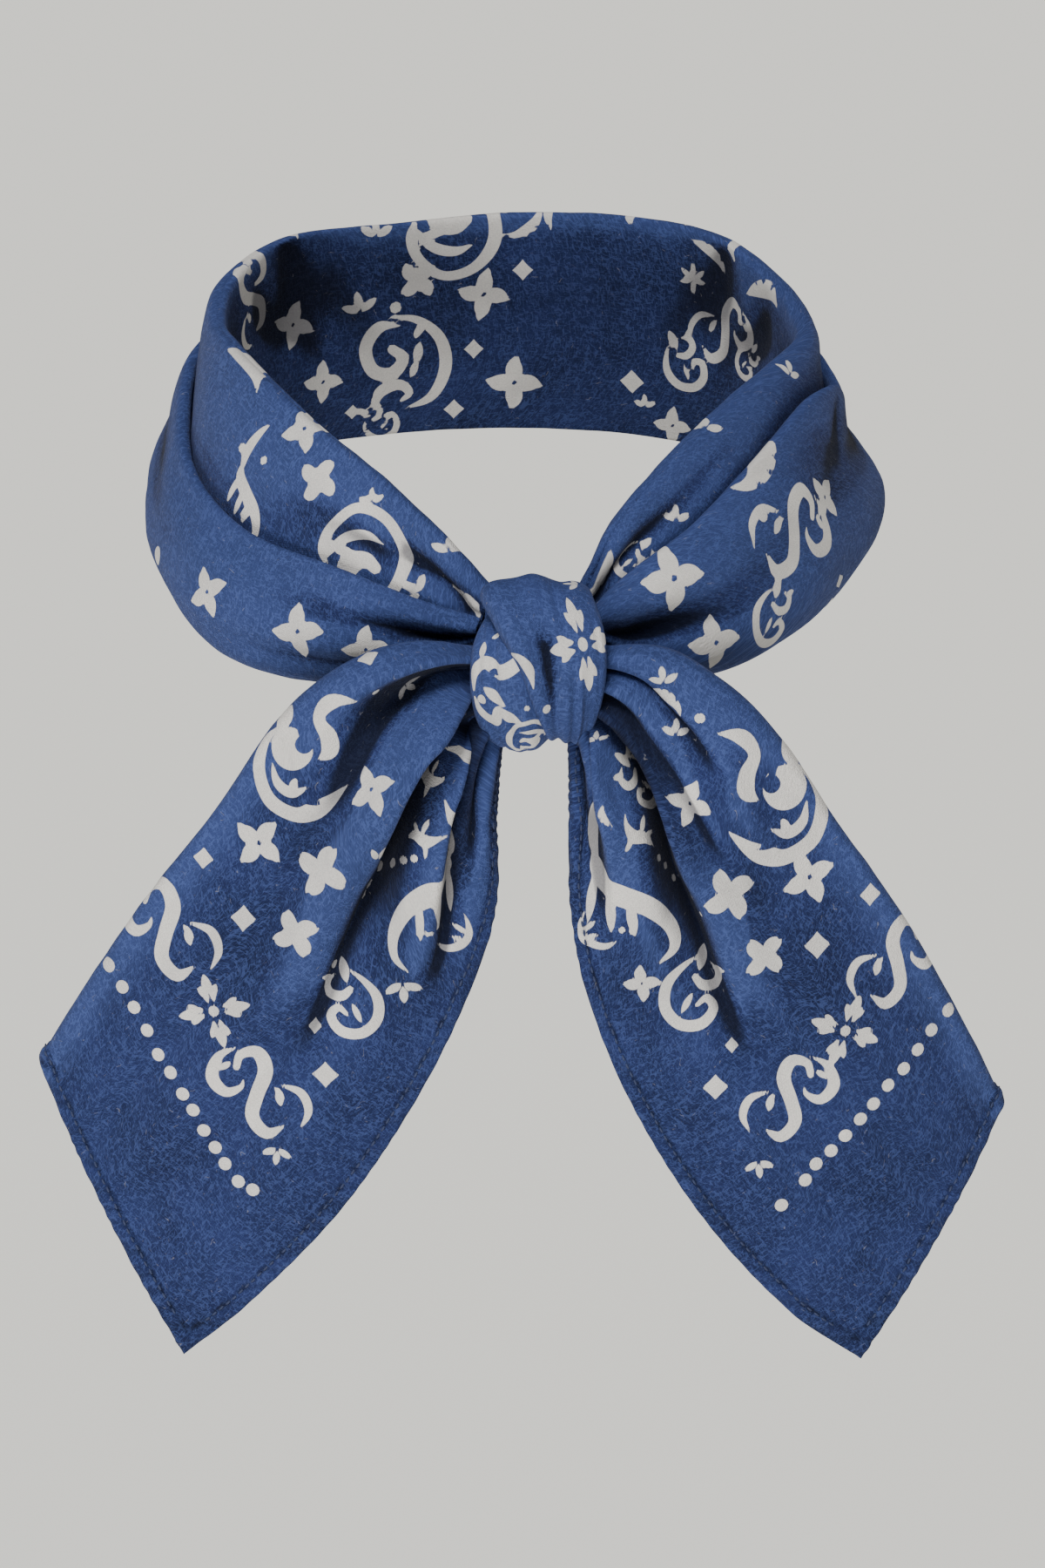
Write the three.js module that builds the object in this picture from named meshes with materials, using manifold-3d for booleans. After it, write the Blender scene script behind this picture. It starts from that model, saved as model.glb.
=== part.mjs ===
// A cotton bandana tied round the neck, kept in the hollow form that it has when it is worn.
// One square of cloth is folded on its diagonal into a band. The band goes round the neck and is tied in
// front in a single knot, and two tails hang from the knot, each ending in a hemmed corner of the square.
// Millimetres. +Z is up, -Y is the front, +X is the right of somebody who looks at the knot.
// The origin is the middle of the neck opening, where the wearer's neck holds the cloth.
import * as THREE from "three";
import { mergeVertices } from "three/addons/utils/BufferGeometryUtils.js";
import Module from "manifold-3d";

const wasm = await Module();
wasm.setup();

// Driving sizes
const BAND_WALL = 1.2; // the neck band's folded cloth
const TAIL_WALL = 1.2; // one layer of cloth in a tail
const HEM_WALL = 1.9; // where the tail's edge is turned over and sewn
const HEM_WIDTH = 3.6;
const SEAM_GAP = 0.35; // between the band's two layers
const KNOT_GAP = 0.45; // round the knot's wraps
const FOLD_RADIUS = 1.7; // half the space between a tail's front layer and the flap folded behind it
const LIP_RADIUS = 1.0; // the turned-in top edge of the band's outer fold
const BAND_STEPS = 44; // stations round the neck
const STEPS_PER_TURN = 2; // facets between two points of a band's section
const TAIL_STEPS = 20;
const END_BOW = 1.4; // how far the hemmed end of a tail bows out at its middle
const KNOT_STEPS = 16;
const KNOT_SIDES = 20;

// The band round the neck, from the knot's left side, round the nape, to the knot's right side.
// rim is its top edge, foot its lower edge. lip is where the outer fold's edge lies, as a share of the way
// from rim to foot. roll is half the thickness at the rim, tuck how far the lip lies inside that, swell and
// flare how far the outer fold stands out below its lip and above its foot, and inset how far inside the
// foot the inner layer ends.
const BAND = table("at rimX rimY rimZ footX footY footZ lip roll tuck swell flare inset", [
  [0.0, -6, -63, -16.5, -9, -64, -27, 0.5, 1.1, 0, 0.9, 0.7, 3.5],
  [0.03, -14.5, -59.5, -7.5, -19, -63, -32, 0.5, 1.3, 0, 2.2, 1.9, 5],
  [0.07, -27, -50.5, 2, -37.5, -59, -36, 0.48, 1.5, 0, 3.4, 3.0, 6.5],
  [0.13, -44, -34, 11.5, -59, -45, -35, 0.52, 1.6, 0, 4.0, 3.8, 7.5],
  [0.2, -58, -14, 19.5, -69, -24, -29.5, 0.51, 1.6, 0.4, 3.4, 4.0, 8],
  [0.25, -62.5, 4, 21, -72, 0, -23.5, 0.44, 1.6, 1, 2.0, 3.8, 8],
  [0.3, -61, 23, 25, -71, 25, -19, 0.38, 1.6, 0.8, 2.4, 3.0, 8],
  [0.36, -49.5, 41.5, 29.5, -57, 48, -17, 0.34, 1.5, 0, 3.0, 2.8, 8],
  [0.43, -26, 52.5, 30, -30, 61, -16, 0.32, 1.5, 0, 3.0, 2.8, 8],
  [0.5, 0, 56.5, 31, 0, 64.5, -16, 0.32, 1.5, 0, 3.0, 2.8, 8],
  [0.57, 23, 53.5, 31, 28, 61, -16.5, 0.32, 1.5, 0, 3.0, 2.8, 8],
  [0.64, 42, 42.5, 29, 52, 49, -18, 0.34, 1.6, 0.4, 2.4, 3.0, 8],
  [0.7, 53.5, 25, 23.5, 65, 28, -20, 0.37, 1.9, 1.4, -0.4, 2.8, 8],
  [0.74, 57.5, 9, 19.5, 69, 7, -22.5, 0.36, 1.9, 1.5, -0.8, 2.8, 8],
  [0.77, 57, -3, 18.5, 68, -8, -25.5, 0.25, 1.7, 1.2, 0, 3.0, 8],
  [0.81, 51.5, -16, 17, 63.5, -23, -28.5, 0.2, 1.4, 0.3, 1.6, 3.4, 8],
  [0.87, 41, -32.5, 13, 54, -41.5, -31.5, 0.25, 1.5, 0, 3.4, 3.6, 7.5],
  [0.93, 26.5, -50.5, 4.5, 38, -58, -34, 0.32, 1.5, 0, 3.4, 3.2, 6.5],
  [0.97, 17.5, -59.5, -4, 22, -63, -32.5, 0.35, 1.3, 0, 2.2, 2.0, 5],
  [1.0, 11.5, -63, -15.5, 15, -64, -27, 0.38, 1.1, 0, 0.9, 0.7, 3.5],
]);

// Pleats of the band's two layers. Each follows s0, s1 and s2, its place across the layer's section at
// first, midway and last, from place u0 round the neck to place u1, where it has died out.
const INNER_PLEATS = table("s0 s1 s2 u0 u1 height width", [
  [0.83, 0.86, 0.88, 0, 0.15, -1.8, 0.045],
  [0.86, 0.84, 0.82, 1, 0.86, -1.2, 0.045],
  [0.4, 0.32, 0.2, 0.33, 0.44, -2.0, 0.1],
  [0.4, 0.32, 0.2, 0.67, 0.57, -2.0, 0.1],
]);
const OUTER_PLEATS = table("s0 s1 s2 u0 u1 height width", [
  [0.55, 0.5, 0.5, 0, 0.12, -2.0, 0.05],
  [0.72, 0.68, 0.66, 0, 0.2, -1.6, 0.07],
  [0.62, 0.58, 0.6, 1, 0.84, -2.6, 0.08],
  [0.5, 0.52, 0.55, 0.33, 0.17, -1.0, 0.06],
  [0.62, 0.7, 0.76, 0.71, 0.86, 1.6, 0.06],
]);

// A tail, as sections from the knot to the hemmed end. out is the folded outer edge, in the sewn inner edge.
// crown is how far the middle of the section stands forward, flap the share of the width folded behind.
const LEFT_TAIL = table("at outX outY outZ inX inY inZ crown flap", [
  [0.0, -6, -71, -26, -5, -72, -44, 2, 0.3],
  [0.09, -20, -76, -23, -6, -77, -58, 3, 0.36],
  [0.2, -34, -78.5, -27, -6, -81, -75, 4, 0.42],
  [0.32, -46, -79, -37, -11, -84, -92, 4, 0.46],
  [0.5, -60, -79, -57, -22, -86, -115, 3.5, 0.5],
  [0.68, -74, -77, -76, -36, -86, -137, 3, 0.5],
  [0.88, -88, -73, -98, -55, -84, -159, 2, 0.5],
  [1.0, -96, -70, -112, -68, -82, -171, 1, 0.5],
]);
const RIGHT_TAIL = table("at outX outY outZ inX inY inZ crown flap", [
  [0.0, 11, -71, -26, 10, -72, -43, 2, 0.3],
  [0.09, 26, -75.5, -24, 10, -77, -58, 3, 0.36],
  [0.2, 38, -78, -30, 10, -81, -75, 4, 0.42],
  [0.32, 48, -79, -40, 13, -84, -92, 4, 0.46],
  [0.5, 61, -79, -59, 22, -86, -115, 3.5, 0.5],
  [0.68, 75, -77, -80, 36, -86, -139, 3, 0.5],
  [0.88, 89, -73, -106, 54, -84, -161, 2, 0.5],
  [1.0, 96, -70, -121, 68, -82, -172, 1, 0.5],
]);
const FLAP_SLANT = 0.52; // how much shorter the flap grows towards its free edge

// Pleats of a tail. v0 to v3 are the share of the width at which the fold lies at the knot, and at 0.15, 0.35
// and 0.7 of the tail. height is positive for a ridge, reach is how far down the tail the fold goes, and lean
// how far the ridge leans over the trough beside it.
const LEFT_PLEATS = table("v0 v1 v2 v3 height width reach lean", [
  [0.05, 0.05, 0.1, 0.14, 2.2, 0.09, 0.55, 0],
  [0.2, 0.21, 0.27, 0.31, -4.2, 0.07, 0.42, 0],
  [0.36, 0.37, 0.4, 0.53, 3.8, 0.09, 0.85, 0.5],
  [0.45, 0.48, 0.48, 0.63, -4.4, 0.055, 0.8, 0],
  [0.58, 0.68, 0.75, 0.76, 2.4, 0.06, 0.5, 0],
  [0.68, 0.79, 0.83, 0.84, -2.2, 0.05, 0.36, 0],
  [0.85, 0.9, 0.92, 0.92, 1.4, 0.06, 0.5, 0],
]);
const RIGHT_PLEATS = table("v0 v1 v2 v3 height width reach lean", [
  [0.02, 0.05, 0.08, 0.1, 2.2, 0.07, 0.5, 0],
  [0.13, 0.16, 0.2, 0.22, -3.4, 0.06, 0.4, 0],
  [0.2, 0.21, 0.22, 0.24, 2.4, 0.06, 0.7, 0],
  [0.27, 0.28, 0.31, 0.33, -2.2, 0.05, 0.45, 0],
  [0.35, 0.36, 0.43, 0.5, 3.6, 0.07, 0.85, 0.4],
  [0.43, 0.47, 0.52, 0.58, -4.4, 0.055, 0.75, 0],
  [0.64, 0.68, 0.7, 0.72, 2.2, 0.08, 0.5, 0],
  [0.8, 0.86, 0.88, 0.9, -1.8, 0.05, 0.32, 0],
]);

// The knot's wraps, from behind its top, over its front, to behind its foot. Each row has the wrap's left
// and right edges and half its thickness.
const OVER_WRAP = table("at leftX leftY leftZ rightX rightY rightZ thick", [
  [0.0, -5, -62, -18, 11, -62, -19, 2.0],
  [0.12, -7.5, -67, -15.3, 12.5, -67, -15.3, 2.8],
  [0.26, -8, -73.5, -14.5, 13.6, -73, -15, 3.4],
  [0.42, -5.2, -78, -18.8, 15.6, -77, -20, 3.8],
  [0.58, -1.6, -80, -25, 16, -78.5, -27.5, 4.0],
  [0.74, 1.6, -79.5, -33.5, 14.8, -77, -35.5, 4.0],
  [0.88, 4.6, -74.5, -40, 12.8, -73, -40.8, 3.4],
  [1.0, 5.5, -67, -39, 12, -66, -39, 2.0],
]);
const UNDER_WRAP = table("at leftX leftY leftZ rightX rightY rightZ thick", [
  [0.0, -5, -62, -21, 5, -62, -19, 2.0],
  [0.15, -7, -69, -20.5, 5, -70, -18.5, 3.0],
  [0.32, -9.4, -74, -24.5, 5, -77, -22, 4.2],
  [0.5, -9.9, -75.5, -31, 5.5, -80, -29, 4.8],
  [0.68, -9, -75.5, -37, 6.5, -79, -37.5, 4.6],
  [0.84, -6.6, -72, -41.5, 6.6, -75, -42, 3.6],
  [1.0, -4, -65.5, -41, 5.5, -67, -41, 2.0],
]);
// Pleats along the wraps: a0 and a1 are the place across the wrap, -1 to 1, at the pleat's ends t0 and t1.
const OVER_PLEATS = table("a0 a1 t0 t1 height width", [
  [0.0, -0.2, 0.02, 0.5, 0.9, 0.22],
  [-0.1, -0.45, 0.42, 1.1, -1.7, 0.13],
  [0.25, 0.1, 0.55, 1.15, -0.9, 0.12],
  [0.62, 0.7, 0.58, 1.15, -0.8, 0.12],
  [0.55, 0.4, 0.0, 0.3, -0.6, 0.16],
]);
const UNDER_PLEATS = table("a0 a1 t0 t1 height width", [
  [-0.35, -0.2, 0.1, 0.6, -0.8, 0.14],
  [0.1, 0.35, 0.55, 1.0, -1.0, 0.14],
]);
// The bundle behind the wraps, from the left of the knot to its right.
const CORE = table("at x y z high deep", [
  [0.0, -7.5, -66, -24, 4.5, 3],
  [0.25, -3, -67.5, -26, 8, 4.5],
  [0.5, 3, -68, -27.5, 9.5, 5],
  [0.75, 9, -67.5, -26, 8, 4.5],
  [1.0, 13.5, -66, -24, 4.5, 3],
]);

// Each row of a table as an object with named columns.
function table(columns, rows) {
  const names = columns.split(" ");
  return rows.map((row) => Object.fromEntries(names.map((n, i) => [n, row[i]])));
}

// A smooth curve through one column of a table, whose first column gives the place of each row.
function through(rows, column) {
  const at = rows.map((r) => r.at);
  const value = rows.map((r) => r[column]);
  const last = at.length - 1;
  const slope = at.map((_, i) => {
    const a = Math.max(0, i - 1);
    const b = Math.min(last, i + 1);
    return (value[b] - value[a]) / (at[b] - at[a]);
  });
  return (t) => {
    let i = 0;
    while (i < last - 1 && t > at[i + 1]) i++;
    const span = at[i + 1] - at[i];
    const k = (t - at[i]) / span;
    return (
      value[i] * (1 + 2 * k) * (1 - k) ** 2 +
      value[i + 1] * k * k * (3 - 2 * k) +
      span * (slope[i] * k * (1 - k) ** 2 - slope[i + 1] * k * k * (1 - k))
    );
  };
}

// A function that gives every column of a table at a place between its rows.
function between(rows) {
  const names = Object.keys(rows[0]).filter((n) => n !== "at");
  const curves = names.map((n) => through(rows, n));
  return (t) => Object.fromEntries(names.map((n, i) => [n, curves[i](t)]));
}

function smoothstep(low, high, x) {
  const k = Math.min(1, Math.max(0, (x - low) / (high - low)));
  return k * k * (3 - 2 * k);
}

// A smooth line through points in the plane, at k from 0 to 1.
function lineThrough(points, k) {
  const last = points.length - 1;
  const i = Math.min(last - 1, Math.floor(k * last));
  const f = k * last - i;
  const p = [i - 1, i, i + 1, i + 2].map((n) => points[Math.min(last, Math.max(0, n))]);
  return [0, 1].map((c) => {
    const [a, b, d, e] = p.map((q) => q[c]);
    const square = 2 * a - 5 * b + 4 * d - e;
    return 0.5 * (2 * b + (d - a) * f + square * f * f + (3 * b - a - 3 * d + e) * f ** 3);
  });
}

// A closed mesh from rings of points, with a fan of triangles at each end.
function closedRings(rings) {
  const sides = rings[0].length;
  const points = rings.flat();
  const faces = [];
  for (let i = 0; i + 1 < rings.length; i++)
    for (let j = 0; j < sides; j++) {
      const [a, b] = [i * sides + j, i * sides + ((j + 1) % sides)];
      faces.push(a, b, a + sides, b, b + sides, a + sides);
    }
  const capFrom = (ring, start, flip) => {
    const middle = ring.reduce((m, p) => m.add(p), new THREE.Vector3()).divideScalar(sides);
    const c = points.push(middle) - 1;
    for (let j = 0; j < sides; j++) {
      const [a, b] = [start + j, start + ((j + 1) % sides)];
      faces.push(...(flip ? [c, b, a] : [c, a, b]));
    }
  };
  capFrom(rings[0], 0, true);
  capFrom(rings[rings.length - 1], (rings.length - 1) * sides, false);
  return outward(points, faces);
}

// A sheet of cloth: point(u, v) is its middle surface, and wall(u, v) its thickness there.
function sheet(point, us, vs, wall) {
  const step = 1e-3;
  const layers = [[], []];
  for (const u of us)
    for (const v of vs) {
      const along = point(u + step, v).sub(point(u - step, v));
      const across = point(u, v + step).sub(point(u, v - step));
      const normal = along.cross(across).normalize();
      const middle = point(u, v);
      [1, -1].forEach((side, n) =>
        layers[n].push(middle.clone().addScaledVector(normal, (side * wall(u, v)) / 2)),
      );
    }
  const columns = vs.length;
  const count = us.length * columns;
  const faces = [];
  const quad = (a, b, c, d) => faces.push(a, b, c, a, c, d);
  for (let i = 0; i + 1 < us.length; i++)
    for (let j = 0; j + 1 < columns; j++) {
      const a = i * columns + j;
      quad(a, a + columns, a + columns + 1, a + 1);
      quad(count + a, count + a + 1, count + a + columns + 1, count + a + columns);
    }
  for (let i = 0; i + 1 < us.length; i++) {
    const [a, b] = [i * columns, i * columns + columns - 1];
    quad(a, count + a, count + a + columns, a + columns);
    quad(b, b + columns, count + b + columns, count + b);
  }
  for (let j = 0; j + 1 < columns; j++) {
    const [a, b] = [j, (us.length - 1) * columns + j];
    quad(a, a + 1, count + a + 1, count + a);
    quad(b, count + b, count + b + 1, b + 1);
  }
  return outward(layers.flat(), faces);
}

// A geometry from points and faces, turned so that its faces point out.
function outward(points, faces) {
  const geometry = new THREE.BufferGeometry().setFromPoints(points);
  let volume = 0;
  for (let i = 0; i < faces.length; i += 3) {
    const [a, b, c] = [points[faces[i]], points[faces[i + 1]], points[faces[i + 2]]];
    volume += a.dot(b.clone().cross(c));
  }
  if (volume < 0) faces.reverse();
  geometry.setIndex(faces);
  return geometry;
}

function solidOf(geometry) {
  const bare = new THREE.BufferGeometry()
    .setAttribute("position", geometry.getAttribute("position"))
    .setIndex(geometry.index);
  const merged = mergeVertices(bare, 1e-4);
  return new wasm.Manifold(
    new wasm.Mesh({
      numProp: 3,
      vertProperties: new Float32Array(merged.attributes.position.array),
      triVerts: new Uint32Array(merged.index.array),
    }),
  );
}

// What is left of a piece when others, each a gap larger than it is, are cut from it: its largest body.
function carved(geometry, others) {
  const left = others.reduce((solid, other) => solid.subtract(solidOf(other)), solidOf(geometry));
  const largest = left.decompose().sort((a, b) => b.volume() - a.volume())[0];
  const { vertProperties, triVerts } = largest.getMesh();
  return new THREE.BufferGeometry()
    .setAttribute("position", new THREE.BufferAttribute(vertProperties, 3))
    .setIndex(new THREE.BufferAttribute(triVerts, 1));
}

function steps(low, high, count) {
  return Array.from({ length: count + 1 }, (_, i) => low + ((high - low) * i) / count);
}

// The band's frame at a place round the neck: its rim, the way down to its foot, the way out, and its height.
const bandAt = between(BAND);
function bandFrame(u) {
  const row = bandAt(u);
  const rimOf = (r) => new THREE.Vector3(r.rimX, r.rimY, r.rimZ);
  const footOf = (r) => new THREE.Vector3(r.footX, r.footY, r.footZ);
  const [before, after] = [bandAt(u - 0.004), bandAt(u + 0.004)];
  const along = rimOf(after).sub(rimOf(before)).add(footOf(after)).sub(footOf(before));
  const rim = rimOf(row);
  const down = footOf(row).sub(rim);
  const height = down.length();
  down.normalize();
  const out = along.clone().cross(down).normalize();
  return { ...row, rim, down, out, height };
}

// The inner layer: up the inside, over the rim, and down the outside to behind the outer fold's lip.
function innerSection({ height, lip, roll, tuck, swell, inset }) {
  const lipAt = lip * height;
  return [
    [height - 1.2, -inset],
    [0.68 * height, -inset * 0.85],
    [0.36 * height, -inset * 0.45 - roll * 0.5],
    [roll * 1.1, -roll],
    [0, 0],
    [roll * 1.1, roll],
    [lipAt * 0.55 + roll * 0.5, roll - tuck * 0.6 + Math.max(0, swell) * 0.3],
    [Math.min(lipAt + 3.5 + 0.05 * height, height - 4), roll * 0.75 - tuck],
  ];
}

// The outer fold: its turned-in lip, its face, and its foot curling under to the inner layer.
function outerSection({ height, lip, roll, tuck, swell, flare, inset }) {
  const top = lip * height;
  const rest = height - top;
  const clear = BAND_WALL + SEAM_GAP;
  const inside = roll - tuck + clear;
  return [
    [top + 3.2 + 0.05 * height, inside + 0.4 - roll * 0.15],
    [top + LIP_RADIUS, inside + 0.2],
    [top - 0.4, inside + 0.2 + LIP_RADIUS],
    [top + LIP_RADIUS, inside + 0.2 + 2 * LIP_RADIUS],
    [top + rest * 0.35, roll + clear + swell + LIP_RADIUS * 0.4],
    [top + rest * 0.72, roll + clear + flare],
    [height - 1.6, clear + flare * 0.25],
    [height, -inset * 0.3],
    [height - 1.4, -inset + clear + 0.3],
  ];
}

// How far a layer's pleats lift it at place u round the neck and k across its section.
function bandLift(pleats, u, k) {
  let lift = 0;
  for (const p of pleats) {
    const share = (u - p.u0) / (p.u1 - p.u0);
    if (share < 0 || share > 1) continue;
    const at = p.s0 + (p.s1 - p.s0) * smoothstep(0, 0.5, share) + (p.s2 - p.s1) * smoothstep(0.5, 1, share);
    const ends = p.u0 === 0 || p.u0 === 1 ? 0.4 + 0.6 * smoothstep(0, 0.2, share) : smoothstep(0, 0.3, share);
    lift += p.height * Math.exp(-(((k - at) / p.width) ** 2)) * ends * (1 - smoothstep(0.25, 1, share));
  }
  return lift;
}

// A point of a layer of the band: k runs across its section, whose left side as k grows is its outside.
function bandPoint(section, pleats) {
  return (u, k) => {
    const frame = bandFrame(u);
    const line = section(frame);
    const [a, b] = lineThrough(line, k);
    const lift = bandLift(pleats, u, k);
    const before = lineThrough(line, Math.max(0, k - 0.01));
    const after = lineThrough(line, Math.min(1, k + 0.01));
    const [da, db] = [after[0] - before[0], after[1] - before[1]];
    const size = Math.hypot(da, db);
    return frame.rim
      .clone()
      .addScaledVector(frame.down, a - (lift * db) / size)
      .addScaledVector(frame.out, b + (lift * da) / size);
  };
}

// How far the pleats lift the tail's cloth at a place, and how far they lean it across.
function tailLift(pleats, u, v) {
  let lift = 0;
  let lean = 0;
  for (const p of pleats) {
    const at =
      p.v0 +
      (p.v1 - p.v0) * smoothstep(0, 0.15, u) +
      (p.v2 - p.v1) * smoothstep(0.15, 0.35, u) +
      (p.v3 - p.v2) * smoothstep(0.35, 0.7, u);
    const shape = Math.exp(-(((v - at) / (p.width * (1 + 0.6 * u))) ** 2));
    const fade = (1 - smoothstep(0.05, p.reach, u)) * (0.75 + 0.25 * smoothstep(0, 0.1, u));
    lift += p.height * shape * fade;
    lean += p.lean * p.height * shape * fade;
  }
  return { lift, lean };
}

// The middle surface of a tail. v runs from its sewn inner edge at 1, to its folded outer edge at 0, and on
// below 0 into the flap behind.
function tailPoint(rows, pleats) {
  const rowAt = between(rows);
  return (t, v) => {
    const behind = v < 0;
    const share = Math.abs(v);
    const u = behind ? t * (1 - FLAP_SLANT * share) : t;
    const row = rowAt(u);
    const outer = new THREE.Vector3(row.outX, row.outY, row.outZ);
    const across = new THREE.Vector3(row.inX, row.inY, row.inZ).sub(outer);
    const width = across.length();
    across.normalize();
    const next = rowAt(u + 0.01);
    const last = rowAt(u - 0.01);
    const along = new THREE.Vector3(
      next.outX + next.inX - last.outX - last.inX,
      next.outY + next.inY - last.outY - last.inY,
      next.outZ + next.inZ - last.outZ - last.inZ,
    ).normalize();
    const front = across.clone().cross(along).normalize();
    if (front.y > 0) front.negate();
    const a = share * width;
    const turn = a < FOLD_RADIUS ? Math.sqrt(FOLD_RADIUS ** 2 - (FOLD_RADIUS - a) ** 2) : FOLD_RADIUS;
    const { lift, lean } = tailLift(pleats, u, share);
    const crown = row.crown * 4 * share * (1 - share);
    const depth = behind ? Math.min(lift, 0) + crown - FOLD_RADIUS - turn : lift + crown - FOLD_RADIUS + turn;
    return outer
      .addScaledVector(across, a + (behind ? 0 : lean * smoothstep(0, 0.2, share)))
      .addScaledVector(along, END_BOW * 4 * share * (1 - share) * u ** 6)
      .addScaledVector(front, depth);
  };
}

// A wrap of the knot: a thick strap between the edges in its rows, pleated along its outside.
function wrap(rows, pleats, grow) {
  const rowAt = between(rows);
  const edges = (t) => {
    const r = rowAt(t);
    return [new THREE.Vector3(r.leftX, r.leftY, r.leftZ), new THREE.Vector3(r.rightX, r.rightY, r.rightZ)];
  };
  const middle = (t) => edges(t)[0].add(edges(t)[1]).multiplyScalar(0.5);
  const pleatAt = (t, across) =>
    pleats.reduce((sum, p) => {
      const share = (t - p.t0) / (p.t1 - p.t0);
      if (share < 0 || share > 1) return sum;
      const at = p.a0 + (p.a1 - p.a0) * share;
      return sum + p.height * Math.exp(-(((across - at) / p.width) ** 2)) * Math.sin(Math.PI * share) ** 0.7;
    }, 0);
  const rings = steps(0, 1, KNOT_STEPS).map((t) => {
    const [left, right] = edges(t);
    const half = left.distanceTo(right) / 2;
    const side = right.clone().sub(left).normalize();
    const along = middle(t + 0.01).sub(middle(t - 0.01)).normalize();
    const out = along.clone().cross(side).normalize();
    const end = 0.5 + 0.5 * Math.sqrt(Math.min(1, 7 * t, 7 * (1 - t)));
    const { thick } = rowAt(t);
    const centre = middle(t).addScaledVector(along, t === 0 ? -grow : t === 1 ? grow : 0);
    return Array.from({ length: KNOT_SIDES }, (_, j) => {
      const angle = (2 * Math.PI * j) / KNOT_SIDES;
      const across = Math.cos(angle);
      const up = Math.sin(angle);
      const bulge = Math.sign(up) * Math.abs(up) ** 0.8;
      const pleat = up > 0 ? pleatAt(t, across) * Math.min(1, 2.5 * up) : 0;
      return centre
        .clone()
        .addScaledVector(side, across * (half * end + grow))
        .addScaledVector(out, bulge * (thick * end + grow) + pleat);
    });
  });
  return closedRings(rings);
}

function coreBundle(grow) {
  const rowAt = between(CORE);
  const rings = steps(0, 1, KNOT_STEPS).map((t) => {
    const row = rowAt(t);
    return Array.from({ length: KNOT_SIDES }, (_, j) => {
      const angle = (2 * Math.PI * j) / KNOT_SIDES;
      return new THREE.Vector3(
        row.x + (t === 0 ? -grow : t === 1 ? grow : 0),
        row.y + Math.cos(angle) * (row.deep + grow),
        row.z + Math.sin(angle) * (row.high + grow),
      );
    });
  });
  return closedRings(rings);
}

const blueCotton = new THREE.MeshStandardMaterial({ color: 0x2f4f8c, roughness: 0.9, metalness: 0 });

function piece(name, geometry) {
  const mesh = new THREE.Mesh(geometry, blueCotton.clone());
  mesh.name = name;
  return mesh;
}

const over = (grow) => wrap(OVER_WRAP, OVER_PLEATS, grow);
const under = (grow) => wrap(UNDER_WRAP, UNDER_PLEATS, grow);

// Rows of facets across a tail: close together at its fold, its pleats and its hem.
const TAIL_ACROSS = [
  ...steps(-0.44, -0.07, 5),
  ...[-0.04, -0.02, -0.006, 0, 0.006, 0.02, 0.04],
  ...steps(0.07, 0.93, 24),
  0.955,
  1,
];

// Rows of facets down a tail, with the hem of its end.
const END_HEM = 0.024;
const TAIL_DOWN = [...steps(0, 0.95, TAIL_STEPS), 1 - END_HEM, 1 - 0.8 * END_HEM, 1];

function tail(rows, pleats) {
  const rowAt = between(rows);
  const wall = (t, v) => {
    const row = rowAt(t);
    const width = Math.hypot(row.inX - row.outX, row.inY - row.outY, row.inZ - row.outZ);
    const hemShare = HEM_WIDTH / width;
    const sewn = Math.max(
      smoothstep(1 - hemShare, 1 - 0.8 * hemShare, v),
      smoothstep(1 - END_HEM, 1 - 0.8 * END_HEM, t),
    );
    return TAIL_WALL + (HEM_WALL - TAIL_WALL) * sewn;
  };
  return sheet(tailPoint(rows, pleats), TAIL_DOWN, TAIL_ACROSS, wall);
}

// Places round the neck, closer together near the knot.
const ROUND = steps(0, 1, BAND_STEPS).map((k) => k - (0.3 * Math.sin(2 * Math.PI * k)) / (2 * Math.PI));

function bandSheet(section, pleats) {
  const spans = section(bandFrame(0.5)).length - 1;
  return sheet(bandPoint(section, pleats), ROUND, steps(0, 1, spans * STEPS_PER_TURN), () => BAND_WALL);
}

const group = new THREE.Group();
const knotSpace = [over(KNOT_GAP), under(KNOT_GAP), coreBundle(KNOT_GAP)];
group.add(piece("knot_over", over(0)));
group.add(piece("knot_under", carved(under(0), [over(KNOT_GAP)])));
group.add(piece("knot_core", carved(coreBundle(0), [over(KNOT_GAP), under(KNOT_GAP)])));
group.add(piece("neck_band_inner", carved(bandSheet(innerSection, INNER_PLEATS), knotSpace)));
group.add(piece("neck_band_outer", carved(bandSheet(outerSection, OUTER_PLEATS), knotSpace)));
group.add(piece("tail_left", carved(tail(LEFT_TAIL, LEFT_PLEATS), knotSpace)));
group.add(piece("tail_right", carved(tail(RIGHT_TAIL, RIGHT_PLEATS), knotSpace)));

export default group;
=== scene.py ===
# %% [markdown]
# # A cotton bandana, tied round a neck
# A bandana is one square of thin cotton with a narrow hem. This one is folded on its diagonal to a band, goes
# round the neck and is tied in front. The neck itself isn't there, so the band keeps its worn, hollow form.
# The solids come in as a fixed frame. Each stretch of cloth is then made again here as a fine, thin shell.

from math import cos, pi, radians, sin

import bmesh
import bpy
import numpy as np
from mathutils import Matrix, Vector


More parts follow.
